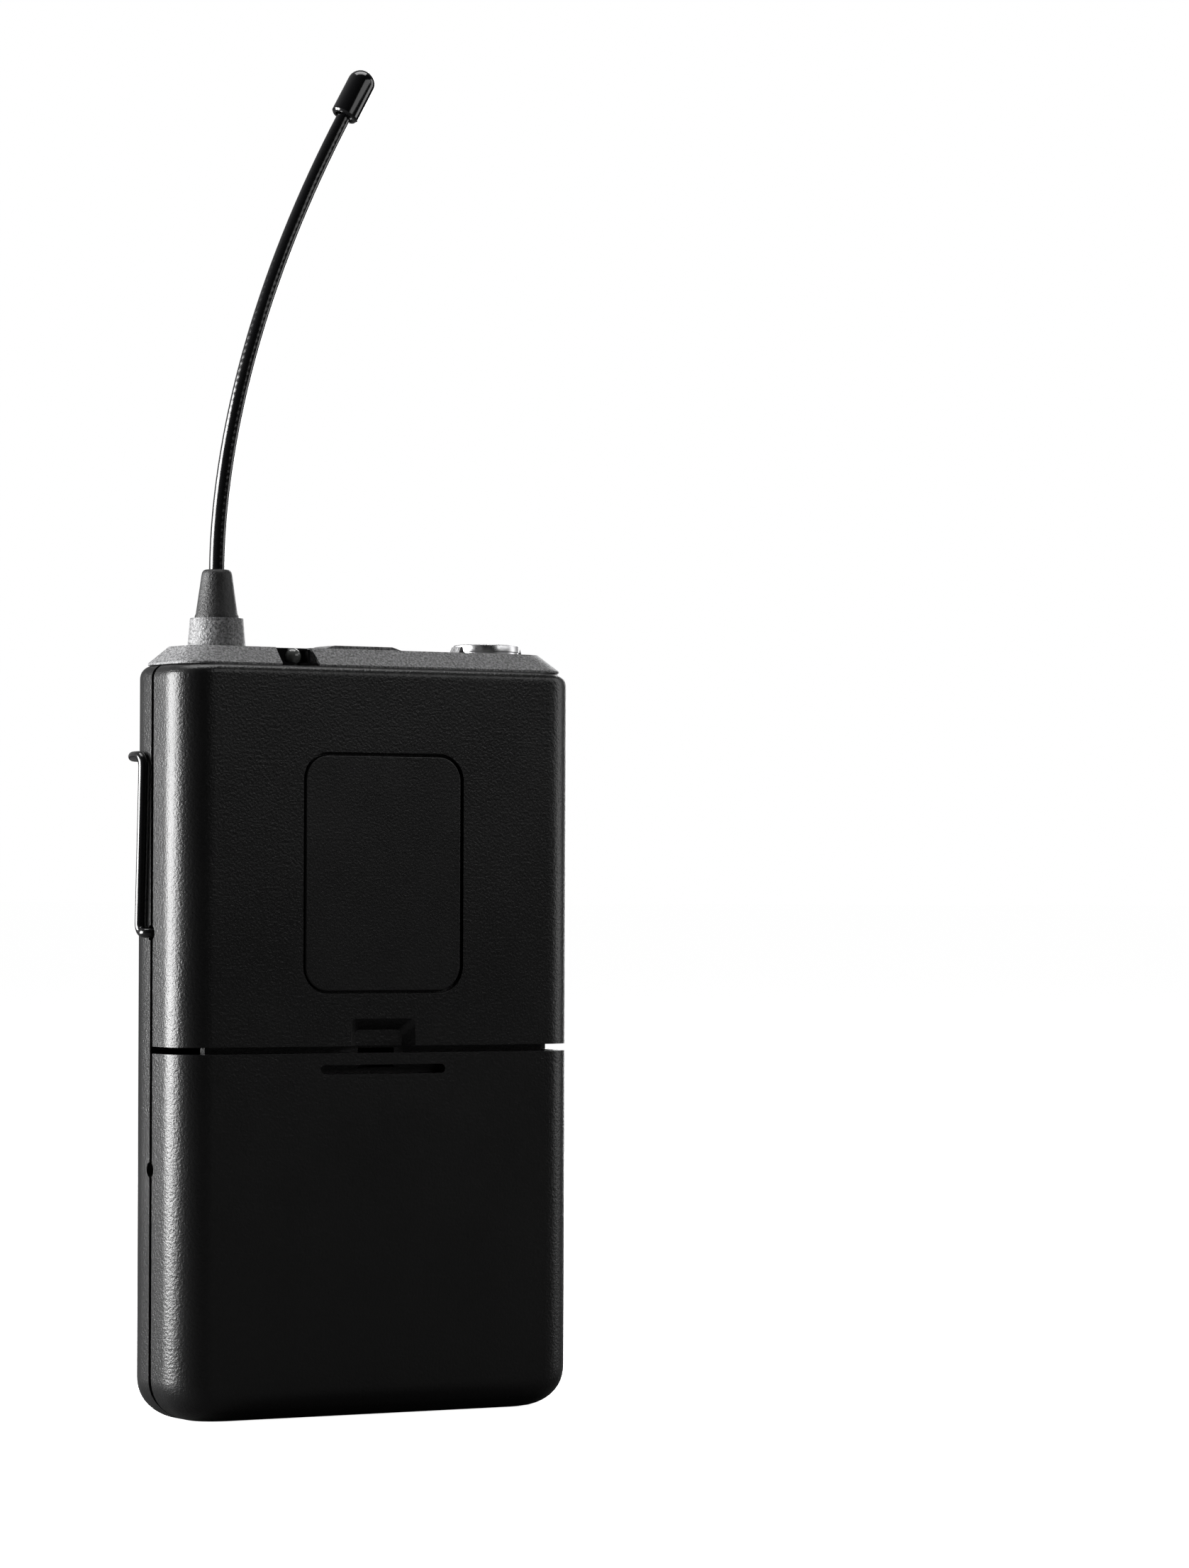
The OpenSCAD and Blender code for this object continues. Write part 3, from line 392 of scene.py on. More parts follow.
def hull_object(name, inset):
    bm = bmesh.new()
    levels = hull_levels(inset)
    full_x, full_y = half_w - inset, half_d - inset
    face = rounded_face(bm, full_x, full_y, FRONT_R - inset, REAR_R - inset)
    bmesh.ops.scale(bm, vec=(levels[0][1] / full_x, levels[0][2] / full_y, 1), verts=face.verts)
    grow(bm, face, levels)
    return as_object(name, bm)


def as_object(name, bm):
    mesh = bpy.data.meshes.new(name)
    bm.to_mesh(mesh)
    bm.free()
    made = bpy.data.objects.new(name, mesh)
    scene.collection.objects.link(made)
    return made


trial = hull_object("trial", 0)
print("hull has", len(trial.data.polygons), "faces")
bpy.data.objects.remove(trial)

# %% [markdown]
# ## Cutting with other shapes
# Openings are cut as in a workshop: a cutter shape is made with the same operators, and a Boolean
# modifier takes it away. The result is written back into the mesh, so the cutter can go. A small
# bevel on every sharp edge follows at the end, because a moulded edge is never knife sharp and only
# a rounded one catches the light.

# %% Cutters and joints


def carve(piece, tool, operation="DIFFERENCE"):
    change = piece.modifiers.new("carve", "BOOLEAN")
    change.operation = operation
    change.solver = "EXACT"
    change.object = tool
    bpy.context.view_layer.update()
    mesh = bpy.data.meshes.new_from_object(piece.evaluated_get(bpy.context.evaluated_depsgraph_get()))
    piece.modifiers.clear()
    old = piece.data
    piece.data = mesh
    mesh.name = piece.name
    bpy.data.meshes.remove(old)
    bpy.data.objects.remove(tool)
    return piece


def block(low, high, edge=0.0):
    """A box between two corners, given in millimetres, with its edges rounded if asked."""
    bm = bmesh.new()
    bmesh.ops.create_cube(bm, size=1)
    low, high = Vector(low) * MM, Vector(high) * MM
    bmesh.ops.scale(bm, vec=high - low, verts=bm.verts)
    bmesh.ops.translate(bm, vec=(low + high) / 2, verts=bm.verts)
    if edge:
        bmesh.ops.bevel(bm, geom=bm.edges[:], offset=edge * MM, segments=3, profile=0.5,
                        affect="EDGES", material=-1)
    return as_object("block", bm)


TURNS = {"X": Matrix.Rotation(pi / 2, 4, "Y"), "Y": Matrix.Rotation(-pi / 2, 4, "X"), "Z": Matrix()}


def rod(axis, centre, start, end, r_start, r_end=None, sides=48):
    """A round bar or cone along an axis; centre and ends in millimetres."""
    bm = bmesh.new()
    bmesh.ops.create_cone(bm, cap_ends=True, segments=sides, radius1=r_start * MM,
                          radius2=(r_start if r_end is None else r_end) * MM, depth=(end - start) * MM)
    bmesh.ops.translate(bm, vec=(0, 0, (start + end) / 2 * MM), verts=bm.verts)
    bmesh.ops.transform(bm, matrix=TURNS[axis], verts=bm.verts)
    bmesh.ops.translate(bm, vec=Vector(centre) * MM, verts=bm.verts)
    return as_object("rod", bm)


def slab(width, height, radius, z, y_front, y_back):
    """An upright plate with round corners, given in millimetres, centred on X = 0."""
    bm = bmesh.new()
    face = rounded_face(bm, width / 2 * MM, height / 2 * MM, radius * MM, radius * MM)
    half = (width / 2 * MM, height / 2 * MM)
    grow(bm, face, [(0, *half), ((y_back - y_front) * MM, *half)])
    bmesh.ops.rotate(bm, cent=(0, 0, 0), matrix=Matrix.Rotation(-pi / 2, 3, "X"), verts=bm.verts)
    bmesh.ops.translate(bm, vec=(0, y_front * MM, z * MM), verts=bm.verts)
    return as_object("slab", bm)


def soften(piece, width, segments=3, angle=32):
    """Rounds every edge that is sharper than the angle, and shades the rest smooth."""
    mesh = piece.data
    bm = bmesh.new()
    bm.from_mesh(mesh)
    bmesh.ops.remove_doubles(bm, verts=bm.verts, dist=0.002 * MM)
    bmesh.ops.dissolve_degenerate(bm, edges=bm.edges, dist=0.002 * MM)
    bmesh.ops.dissolve_limit(bm, angle_limit=radians(0.4), verts=bm.verts, edges=bm.edges)
    bm.to_mesh(mesh)
    bm.free()
    mesh.shade_smooth()
    mesh.set_sharp_from_angle(angle=radians(angle))
    if width:
        bevel = piece.modifiers.new("soft_edges", "BEVEL")
        bevel.width = width * MM
        bevel.segments = segments
        bevel.limit_method = "ANGLE"
        bevel.angle_limit = radians(angle)
        bevel.miter_outer = "MITER_ARC"
        bevel.harden_normals = True
    return piece


def place(piece, name, body, slot, material, *replaced):
    """Gives a finished piece its name, finish and body, and hides the CAD nodes it stands for."""
    piece.name = name
    piece.data.name = name
    piece.data.materials.clear()
    piece.data.materials.append(material)
    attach(piece, body)
    if replaced:
        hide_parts(*replaced)
    print(name, "-", len(piece.data.polygons), "faces")
    return piece


W, D, H = half_w / MM, half_d / MM, body_h / MM
DOOR, COVER = door_top / MM, cover_low / MM
PIN_Y, PIN_Z = pin_y / MM, pin_z / MM
INNER = D - wall / MM
SEAM = seam / MM / 2
BIG = 100


def case_form(name):
    """The whole hollow case, before it is parted."""
    return carve(hull_object(name, 0), hull_object("inside", wall))


print("workshop ready; the case is", round(W * 2, 1), "mm wide")

# %% [markdown]
# ## Rear case half
# The rear half ends at the parting line. Low down it reaches forward under the battery door, and
# there it is cut back to a round arc about the hinge pin, so that the door's edge can swing past.
# A thin lip behind the seam keeps light and dust out.
# Four screws go in from the back, each in its own well.

# %% Rear half
CLIP_HOLE_R = 1.1
CLIP_HOLE_Z = (35.7, 69.4)
CASE_SCREWS = [(-25.5, 57.6), (25.5, 57.6), (-10, 100.5), (10, 100.5)]
CASE_POST_R, COVER_POST_R, SCREW_BORE_R, SCREW_WELL_R = 2.7, 2.3, 1.15, 1.9
BOARD_POSTS = [(x, z) for x in (-24.5, 24.5) for z in (64.5, 91)]
BOARD_POST_R = 2.2
LIP_SPANS = ((12, 52), (54, 103.5))
SHELL_SWING_R = 5.5


def clip_holes(piece, heights):
    for z in heights:
        for side in (-1, 1):
            carve(piece, rod("X", (side * W, 0, z), -2.5, 2.5, CLIP_HOLE_R))


def cap_opening(piece):
    carve(piece, block((-27.9, -6.1, H - 3), (27.9, 6.1, H + 1)))


rear = case_form("rear_half")
for x, z in CASE_SCREWS:
    carve(rear, rod("Y", (x, 0, z), 1, D - 0.8, CASE_POST_R), "UNION")
for x, z in BOARD_POSTS:
    carve(rear, rod("Y", (x, 0, z), 3.4, INNER + 0.2, BOARD_POST_R), "UNION")
carve(rear, block((-BIG, -BIG, PIN_Z), (BIG, SEAM, BIG * 2)))
for side in (-1, 1):
    lip_left, lip_right = sorted((side * (W - 1.05), side * (W - 1.7)))
    for low, high in LIP_SPANS:
        carve(rear, block((lip_left, -0.12, low), (lip_right, SEAM + 0.3, high)), "UNION")
carve(rear, rod("X", (0, PIN_Y, PIN_Z), -BIG, BIG, SHELL_SWING_R, sides=96))
carve(rear, block((-BIG, -BIG, -1), (BIG, PIN_Y, PIN_Z + 1)))
cap_opening(rear)
clip_holes(rear, CLIP_HOLE_Z)
for x, z in CASE_SCREWS:
    carve(rear, rod("Y", (x, 0, z), 0, BIG, SCREW_BORE_R))
    carve(rear, rod("Y", (x, 0, z), D - 2.6, BIG, SCREW_WELL_R))
soften(rear, 0.18)
place(rear, "rear_half", "root", "black_shell", case_black, "rear_shell")

# %% [markdown]
# ## Front cover
# The cover carries the thumb recess at its lower edge and a shallow pocket for the inlay plate. The
# recess has sloping sides and a sloping top, so its cutter is a block whose inner face is drawn
# smaller. A small rebate along the parting line makes the seam read as a dark line. A ledge behind
# the lower edge closes the gap above the door, with a window for the latch.

# %% Front cover
NOTCH_HALF, NOTCH_FLOOR_HALF = 5.3, 3.9
NOTCH_TOP, NOTCH_DEPTH = COVER + 4, 1.7
LEDGE_Y, LEDGE_LOW, SLOT_Z = -7.2, 48.5, DOOR - 2.35
INLAY_W, INLAY_H, INLAY_R, INLAY_Z = 25.3, 33.8, 3.6, 78.05
INLAY_GAP = 0.4


def notch_cutter():
    bm = bmesh.new()
    bmesh.ops.create_cube(bm, size=1)
    low = Vector((-NOTCH_HALF, -D, COVER - 2)) * MM
    high = Vector((NOTCH_HALF, -D + NOTCH_DEPTH, NOTCH_TOP)) * MM
    bmesh.ops.scale(bm, vec=high - low, verts=bm.verts)
    bmesh.ops.translate(bm, vec=(low + high) / 2, verts=bm.verts)
    floor_verts = [v for v in bm.verts if v.co.y > (low.y + high.y) / 2]
    bmesh.ops.scale(bm, vec=(NOTCH_FLOOR_HALF / NOTCH_HALF, 1, 1), verts=floor_verts)
    floor_top = [v for v in floor_verts if v.co.z > cover_low]
    bmesh.ops.translate(bm, vec=(0, 0, -NOTCH_DEPTH * MM), verts=floor_top)
    bm.normal_update()
    front = [f for f in bm.faces if f.normal.y < -0.9]
    grown = bmesh.ops.extrude_face_region(bm, geom=front)["geom"]
    bmesh.ops.delete(bm, geom=front, context="FACES_ONLY")
    mouth = [g for g in grown if isinstance(g, bmesh.types.BMVert)]
    bmesh.ops.translate(bm, vec=(0, -2 * MM, 0), verts=mouth)
    upright = [e for e in bm.edges if all(v.co.z > cover_low for v in e.verts)
               and abs(e.verts[0].co.y - e.verts[1].co.y) > MM / 2]
    bmesh.ops.bevel(bm, geom=upright, offset=0.8 * MM, segments=4, profile=0.5, affect="EDGES", material=-1)
    bmesh.ops.recalc_face_normals(bm, faces=bm.faces)
    return as_object("notch", bm)


REBATE_WIDTH, REBATE_DEPTH = 0.62, 0.45


def front_form(name, low, high):
    """The part of the hollow case in front of the parting line, between two heights."""
    made = case_form(name)
    carve(made, block((-BIG, -SEAM, -1), (BIG, BIG, BIG * 2)))
    rebate = block((-BIG, -REBATE_WIDTH, -BIG), (BIG, BIG, H - 0.2))
    carve(made, carve(rebate, hull_object("core", REBATE_DEPTH * MM)))
    if low > 0:
        carve(made, block((-BIG, -BIG, -BIG), (BIG, BIG, low)))
    if high < H:
        carve(made, block((-BIG, -BIG, high), (BIG, BIG, BIG * 2)))
    return made


cover = front_form("cover", COVER, H)
cap_opening(cover)
clip_holes(cover, CLIP_HOLE_Z[1:])
carve(cover, block((-6.3, -INNER - 0.2, COVER), (6.3, -INNER + 1.4, NOTCH_TOP + 1.5)), "UNION")
carve(cover, block((-27.5, LEDGE_Y, LEDGE_LOW), (27.5, LEDGE_Y + 1.3, COVER + 2)), "UNION")
carve(cover, block((-27.5, -INNER - 0.2, COVER + 0.2), (27.5, LEDGE_Y + 0.1, COVER + 2)), "UNION")
for x, z in CASE_SCREWS:
    carve(cover, rod("Y", (x, 0, z), -D + 0.8, -0.3, COVER_POST_R), "UNION")
carve(cover, block((-2.95, LEDGE_Y - 1, SLOT_Z + 0.2), (2.95, LEDGE_Y + 2, COVER - 0.3)))
carve(cover, notch_cutter())
carve(cover, slab(INLAY_W + 2 * INLAY_GAP, INLAY_H + 2 * INLAY_GAP, INLAY_R + INLAY_GAP, INLAY_Z,
                  -D - 1, -D + 1))
soften(cover, 0.2)
place(cover, "cover", "root", "black_shell", case_black, "front_cover")

# %% Inlay plate
inlay = slab(INLAY_W, INLAY_H, INLAY_R, INLAY_Z, -D + 0.12, -D + 1)
soften(inlay, 0.22, 4)
place(inlay, "inlay", "root", "inlay_film", plate_black, "inlay_plate")

# %% [markdown]
# ## Battery door
# The door is the lower part of the front. Its lower rear edge follows a round arc about the hinge
# pin. The long slot near its top frees a strip that can bend, and the hook behind that strip holds
# the door shut. Two knuckles at the bottom turn on the pins.

# %% Battery door
DOOR_SWING_R = 5.2
KNUCKLE_X, KNUCKLE_HALF, KNUCKLE_R, PIN_BORE_R = 29.75, 1.35, 2.2, 0.85
door = front_form("door", 0, DOOR)
swing = block((-BIG, PIN_Y, -BIG), (BIG, BIG, PIN_Z))
carve(swing, rod("X", (0, PIN_Y, PIN_Z), -2 * BIG, 2 * BIG, DOOR_SWING_R, sides=96))
carve(door, swing)
clip_holes(door, CLIP_HOLE_Z[:1])
carve(door, slab(20.3, 1.35, 0.674, SLOT_Z, -D - 1, -INNER + 1))
for side in (-1, 1):
    knuckle = rod("X", (side * KNUCKLE_X, PIN_Y, PIN_Z), -KNUCKLE_HALF, KNUCKLE_HALF, KNUCKLE_R)
    carve(knuckle, hull_object("core", 0.8 * MM), "INTERSECT")
    carve(door, knuckle, "UNION")
    bore_x = side * (KNUCKLE_X - 0.55)
    carve(door, rod("X", (bore_x, PIN_Y, PIN_Z), -KNUCKLE_HALF, KNUCKLE_HALF, PIN_BORE_R))
carve(door, block((-2.6, -INNER - 0.2, DOOR - 1.4), (2.6, LEDGE_Y + 0.7, DOOR - 0.25)), "UNION")
soften(door, 0.2)
place(door, "door", "battery_door", "black_shell", case_black, "battery_door")

# %% [markdown]
# ## Top cap
# The grey cap closes both halves. Its foot is set in from the case all round, and its four sides
# slope in to a flat top, so it grows from one rounded face through three levels. On it stand the
# antenna's boss, the raised frame round the switch and the collar behind the jack.

# %% Top cap
CAP_TOP = H + 2.7
CAP_FOOT_IN, CAP_CROWN_IN = 1.15, 3.75
ANTENNA_X, JACK_X, LED_X = -22.3, 22.05, -12.9
BOSS_TOP = CAP_TOP + 4.1
BOSS_FOOT_R, BOSS_TOP_R = 4.16, 3.82
SKIRT_X, SKIRT_Y, SKIRT_DEEP = 27.8, 6, 3
HOLLOW_X, HOLLOW_Y = 22.4, 4.8
SWITCH_FRAME_X, SWITCH_FRAME_Y, SWITCH_FRAME_RISE = 6.7, 3, 0.6
RECESS_X, RECESS_Y, RECESS_DEEP = 4.2, 2.1, 0.9
SLOT_X, SLOT_Y = 3.3, 0.9
WINDOW_HALF, WINDOW_BACK_Y = 3.05, -4.2
SEAT_R, SEAT_TOP_R = 4.75, 4.9


def cap_form():
    bm = bmesh.new()
    foot = ((W - CAP_FOOT_IN) * MM, (D - CAP_FOOT_IN) * MM)
    crown = ((W - CAP_CROWN_IN) * MM, (D - CAP_CROWN_IN) * MM)
    face = rounded_face(bm, *foot, 4.2 * MM, 6 * MM)
    grow(bm, face, [(H * MM, *foot), ((H + 0.3) * MM, *foot), (CAP_TOP * MM, *crown)])
    return as_object("cap_form", bm)


def turned(profile, x, z, sides=64):
    """A solid of revolution about Z: (radius, height) points in millimetres, from axis to axis."""
    bm = bmesh.new()
    verts = [bm.verts.new((r * MM, 0, h * MM)) for r, h in profile]
    edges = [bm.edges.new(pair) for pair in zip(verts, verts[1:])]
    bmesh.ops.spin(bm, geom=verts + edges, cent=(0, 0, 0), axis=(0, 0, 1), angle=2 * pi, steps=sides,
                   use_merge=True)
    bmesh.ops.remove_doubles(bm, verts=bm.verts, dist=0.001 * MM)
    bmesh.ops.recalc_face_normals(bm, faces=bm.faces)
    bmesh.ops.translate(bm, vec=(x * MM, 0, z * MM), verts=bm.verts)
    return as_object("turned", bm)


def frustum(low, high, draw_x, draw_y):
    """A box whose top is drawn in along X and Y; all in millimetres."""
    made = block(low, high)
    bm = bmesh.new()
    bm.from_mesh(made.data)
    top = [v for v in bm.verts if v.co.z > (low[2] + high[2]) / 2 * MM]
    middle = (Vector(low) + Vector(high)) / 2 * MM
    bmesh.ops.scale(bm, vec=(1 - 2 * draw_x / (high[0] - low[0]), 1 - 2 * draw_y / (high[1] - low[1]), 1),
                    space=Matrix.Translation(-middle), verts=top)
    bm.to_mesh(made.data)
    bm.free()
    return made


cap = cap_form()
carve(cap, block((-SKIRT_X, -SKIRT_Y, H - SKIRT_DEEP), (SKIRT_X, SKIRT_Y, H + 0.5)), "UNION")
boss_profile = [(0, 0), (BOSS_FOOT_R, 0), (BOSS_FOOT_R, 1), (BOSS_TOP_R, 5.1), (0, 5.1)]
carve(cap, turned(boss_profile, ANTENNA_X, CAP_TOP - 1), "UNION")
carve(cap, frustum((-SWITCH_FRAME_X, -SWITCH_FRAME_Y, CAP_TOP),
                   (SWITCH_FRAME_X, SWITCH_FRAME_Y, CAP_TOP + SWITCH_FRAME_RISE), 2, 0), "UNION")
collar = turned([(0, 0), (5.5, 0), (5.5, 0.5), (5.1, 1.6), (0, 1.6)], JACK_X, CAP_TOP - 0.5)
carve(collar, block((JACK_X - 7, -7, CAP_TOP), (JACK_X + 7, -1.2, CAP_TOP + 3)))
carve(cap, collar, "UNION")
carve(cap, block((-HOLLOW_X, -HOLLOW_Y, H - 4), (HOLLOW_X, HOLLOW_Y, CAP_TOP - 1.5)))
seat_profile = [(0, -8), (SEAT_R, -8), (SEAT_R, 0.3), (SEAT_TOP_R, 0.3), (SEAT_TOP_R, 6), (0, 6)]
carve(cap, turned(seat_profile, JACK_X, CAP_TOP, 72))
carve(cap, block((-RECESS_X, -RECESS_Y, CAP_TOP - RECESS_DEEP), (RECESS_X, RECESS_Y, CAP_TOP + 2), 0.3))
carve(cap, block((-SLOT_X, -SLOT_Y, CAP_TOP - 5), (SLOT_X, SLOT_Y, CAP_TOP + 1)))
carve(cap, frustum((LED_X - WINDOW_HALF, -D, H + 0.05), (LED_X + WINDOW_HALF, WINDOW_BACK_Y, CAP_TOP + 1),
                   0.3, 0))
soften(cap, 0.16)
place(cap, "cap", "root", "grey_cap", cap_grey, "top_cap")

# %% [markdown]
# ## Status light and switch
# The light sits in a dark window cut through the cap's front slope. The lens is a dome on a short
# stem, spun from a quarter circle. The switch slide has a ribbed top, so that a nail can move it.

# %% Status light
LED_Z = H + 1.38
LED_R = 1.25


def dome_profile(radius, stem, steps=8):
    arc = [(radius * cos(i / steps * pi / 2), stem + radius * sin(i / steps * pi / 2)) for i in range(steps)]
    return [(0, 0), (radius, 0)] + arc + [(0, stem + radius)]


def lens():
    made = turned(dome_profile(LED_R, 1.2), 0, 0, 32)
    turn = Matrix.Translation(Vector((LED_X, -4.25, LED_Z)) * MM) @ Matrix.Rotation(pi / 2, 4, "X")
    made.data.transform(turn)
    return made


lamp = soften(lens(), 0)
place(lamp, "lamp_lens", "root", "lamp_lens", lamp_clear, "led_lens")

# %% Switch slide
switch_black = finish("switch_black", (0.011, 0.011, 0.0115), 0.38)
grain(switch_black, 0.25 * MM, 0.02 * MM)
KNOB_LOW, KNOB_HIGH = Vector((-4.0, -1.9, CAP_TOP - 0.85)), Vector((0.6, 1.9, CAP_TOP + 0.35))
knob = block(KNOB_LOW, KNOB_HIGH)
for i in range(4):
    groove = rod("Y", (KNOB_LOW.x + 0.95 + i * 0.9, 0, KNOB_HIGH.z + 0.05), -3, 3, 0.28, sides=12)
    carve(knob, groove)
stem_x = (KNOB_LOW.x + KNOB_HIGH.x) / 2
carve(knob, block((stem_x - 0.7, -0.7, CAP_TOP - 4.6), (stem_x + 0.7, 0.7, CAP_TOP - 0.8)), "UNION")
soften(knob, 0.1)
place(knob, "switch_slide", "power_switch", "black_knob", switch_black, "power_switch")

# %% [markdown]
# ## Antenna
# The boot and the tip are turned shapes, so each is a profile spun about its axis. The whip is a
# sleeve over a close wound spring, bent by years in a bag. Its ring of vertices is carried up the
# bend: each step extrudes the ring, moves it along and tilts it, so that the section stays round.

# %% Antenna boot
boot = turned([(0, 0), (3.15, 0), (3.15, 0.35), (3.0, 0.6), (2.2, 6.2), (2.12, 6.55), (1.95, 6.82),
               (1.68, 6.97), (1.4, 7), (1.16, 7), (1.16, 0.5), (0, 0.5)], ANTENNA_X, BOSS_TOP)
soften(boot, 0.08, 2)
place(boot, "antenna_boot_rubber", "root", "black_rubber", boot_rubber, "antenna_boot")

# %% Antenna whip
BOOT_TOP = BOSS_TOP + 7
WHIP_RISE, WHIP_LEAN, WHIP_BEND = 66.3, 20.2, 1.83
WHIP_STEPS = 60


def whip_point(t):
    return Vector((ANTENNA_X + WHIP_LEAN * t ** WHIP_BEND, 0, BOOT_TOP + WHIP_RISE * t)) * MM


def whip_tilt(t):
    return atan2(WHIP_LEAN * WHIP_BEND * t ** (WHIP_BEND - 1), WHIP_RISE)


def carry(bm, ring, move, tilt, about, shrink=1.0):
    """Extrudes an open ring of edges, moves it and tilts it about the Y axis."""
    grown = bmesh.ops.extrude_edge_only(bm, edges=ring)["geom"]
    verts = [g for g in grown if isinstance(g, bmesh.types.BMVert)]
    bmesh.ops.translate(bm, vec=move, verts=verts)
    bmesh.ops.rotate(bm, cent=about, matrix=Matrix.Rotation(tilt, 3, "Y"), verts=verts)
    bmesh.ops.scale(bm, vec=(shrink, shrink, shrink), space=Matrix.Translation(-about), verts=verts)
    return [g for g in grown if isinstance(g, bmesh.types.BMEdge)]


def whip_form():
    bm = bmesh.new()
    start = Vector((ANTENNA_X, 0, BOOT_TOP - 5.6)) * MM
    bmesh.ops.create_circle(bm, cap_ends=False, segments=24, radius=1.125 * MM)
    bmesh.ops.translate(bm, vec=start, verts=bm.verts)
    ring = bm.edges[:]
    bmesh.ops.contextual_create(bm, geom=ring)
    at, tilt = start, 0.0
    for i in range(WHIP_STEPS + 1):
        t = i / WHIP_STEPS
        ring = carry(bm, ring, whip_point(t) - at, whip_tilt(t) - tilt, whip_point(t), 0.9988)
        at, tilt = whip_point(t), whip_tilt(t)
    bmesh.ops.contextual_create(bm, geom=ring)
    bmesh.ops.recalc_face_normals(bm, faces=bm.faces)
    return as_object("whip", bm)


whip = soften(whip_form(), 0)
place(whip, "antenna_sleeve", "root", "whip_sleeve", whip_black, "antenna_whip")

# %% Antenna tip
TIP_R, TIP_SIDE, TIP_DOME = 2.03, 5.8, 1.9
tip_profile = [(0, 0.6), (1.38, 0.6), (1.38, 0.05), (1.5, 0), (1.8, 0.05), (TIP_R, 0.3), (TIP_R, TIP_SIDE)]
tip_profile += [(TIP_R * cos(radians(a)), TIP_SIDE + TIP_DOME * sin(radians(a))) for a in range(10, 91, 10)]
tip = turned(tip_profile, 0, 0, 40)
lean = whip_tilt(1)
tip_place = whip_point(1) + Vector((sin(lean), 0, cos(lean))) * 0.05 * MM
tip.data.transform(Matrix.Translation(tip_place) @ Matrix.Rotation(lean, 4, "Y"))
soften(tip, 0)
place(tip, "antenna_tip_cap", "root", "gloss_black", gloss_black, "antenna_tip")

# %% [markdown]
# ## Microphone jack
# The jack is a plated barrel with a rim that stands above the cap. It is one profile, spun: rim,
# rounded mouth, latch groove and the long bore below. The insulator and its three contacts stay as
# the frame has them.

# %% Jack barrel
JACK_TOP = CAP_TOP + 1.4
BORE_R, BARREL_R, GROOVE_R, BARREL_LOW = 4.2, 4.7, 4.45, -13.9
jack_outside = [(BORE_R, BARREL_LOW), (BARREL_R, BARREL_LOW), (BARREL_R, -1.1), (4.72, -1.1), (4.85, -1.0),
                (4.85, -0.25), (4.79, -0.09), (4.68, -0.01), (4.6, 0)]
jack_inside = [(4.35, 0), (4.27, -0.03), (BORE_R, -0.12), (BORE_R, -2.4), (GROOVE_R, -2.4),
               (GROOVE_R, -3.0), (BORE_R, -3.0), (BORE_R, BARREL_LOW)]
jack = turned(jack_outside + jack_inside, JACK_X, JACK_TOP, 96)
soften(jack, 0)
place(jack, "jack_barrel", "root", "jack_chrome", jack_plate, "jack_shell")

# %% [markdown]
# ## Belt clip
# The clip is one length of spring wire, so it is made as a wire bender makes it. A ring of vertices
# starts at the wire's end, straight runs extrude it and each bend spins it about the bend's centre.
# The wire leaves a hole in the side, runs up beside the case and wraps round the back.

# %% Wire bender
WIRE_R = 0.7
CLIP_X, CLIP_BACK = W + 0.8, D + 1.1
CLIP_TOP = CLIP_HOLE_Z[1] + 25.2
TONGUE_HALF = 11
LEG_END = TONGUE_HALF + 5


def ring_parts(geometry):
    verts = [g for g in geometry if isinstance(g, bmesh.types.BMVert)]
    edges = [g for g in geometry if isinstance(g, bmesh.types.BMEdge)]
    return verts, edges


def bent_wire(name, points, radii, sides=20):
    """A round wire through corner points in millimetres, with a bend radius at each inner point."""
    points = [Vector(p) * MM for p in points]
    bm = bmesh.new()
    bmesh.ops.create_circle(bm, cap_ends=False, segments=sides, radius=WIRE_R * MM)
    way = (points[1] - points[0]).normalized()
    bmesh.ops.rotate(bm, cent=(0, 0, 0), matrix=way.to_track_quat("Z", "Y").to_matrix(), verts=bm.verts)
    bmesh.ops.translate(bm, vec=points[0], verts=bm.verts)
    verts, edges = bm.verts[:], bm.edges[:]
    at = points[0]
    bmesh.ops.contextual_create(bm, geom=edges)
    for before, corner, after, radius in zip(points, points[1:], points[2:], radii):
        way, next_way = (corner - before).normalized(), (after - corner).normalized()
        turn = acos(max(-1, min(1, way.dot(next_way))))
        start = corner - way * radius * MM * tan(turn / 2)
        grown = bmesh.ops.extrude_edge_only(bm, edges=edges)["geom"]
        verts, edges = ring_parts(grown)
        bmesh.ops.translate(bm, vec=start - at, verts=verts)
        centre = corner + (next_way - way).normalized() * radius * MM / cos(turn / 2)
        spun = bmesh.ops.spin(bm, geom=verts + edges, cent=centre, axis=way.cross(next_way).normalized(),
                              angle=turn, steps=max(4, round(turn / radians(7))))
        verts, edges = ring_parts(spun["geom_last"])
        at = corner + next_way * radius * MM * tan(turn / 2)
    grown = bmesh.ops.extrude_edge_only(bm, edges=edges)["geom"]
    verts, edges = ring_parts(grown)
    bmesh.ops.translate(bm, vec=points[-1] - at, verts=verts)
    bmesh.ops.contextual_create(bm, geom=edges)
    bmesh.ops.remove_doubles(bm, verts=bm.verts, dist=0.0005 * MM)
    bmesh.ops.recalc_face_normals(bm, faces=bm.faces)
    return soften(as_object(name, bm), 0)


def clip_leg(side):
    path = [(-29, 0, CLIP_HOLE_Z[1]), (-CLIP_X, 0, CLIP_HOLE_Z[1]), (-CLIP_X, 2.1, CLIP_HOLE_Z[1]),
            (-CLIP_X, 1, CLIP_TOP), (-CLIP_X, CLIP_BACK, CLIP_TOP), (-LEG_END, CLIP_BACK, CLIP_TOP)]
    return bent_wire("leg", [(-side * x, y, z) for x, y, z in path], [0.75, 1.3, 1.6, 8])


left_leg = clip_leg(-1)
place(left_leg, "clip_leg_left", "root", "clip_wire", wire_black, "belt_clip_legs")
right_leg = clip_leg(1)
place(right_leg, "clip_leg_right", "root", "clip_wire", wire_black)

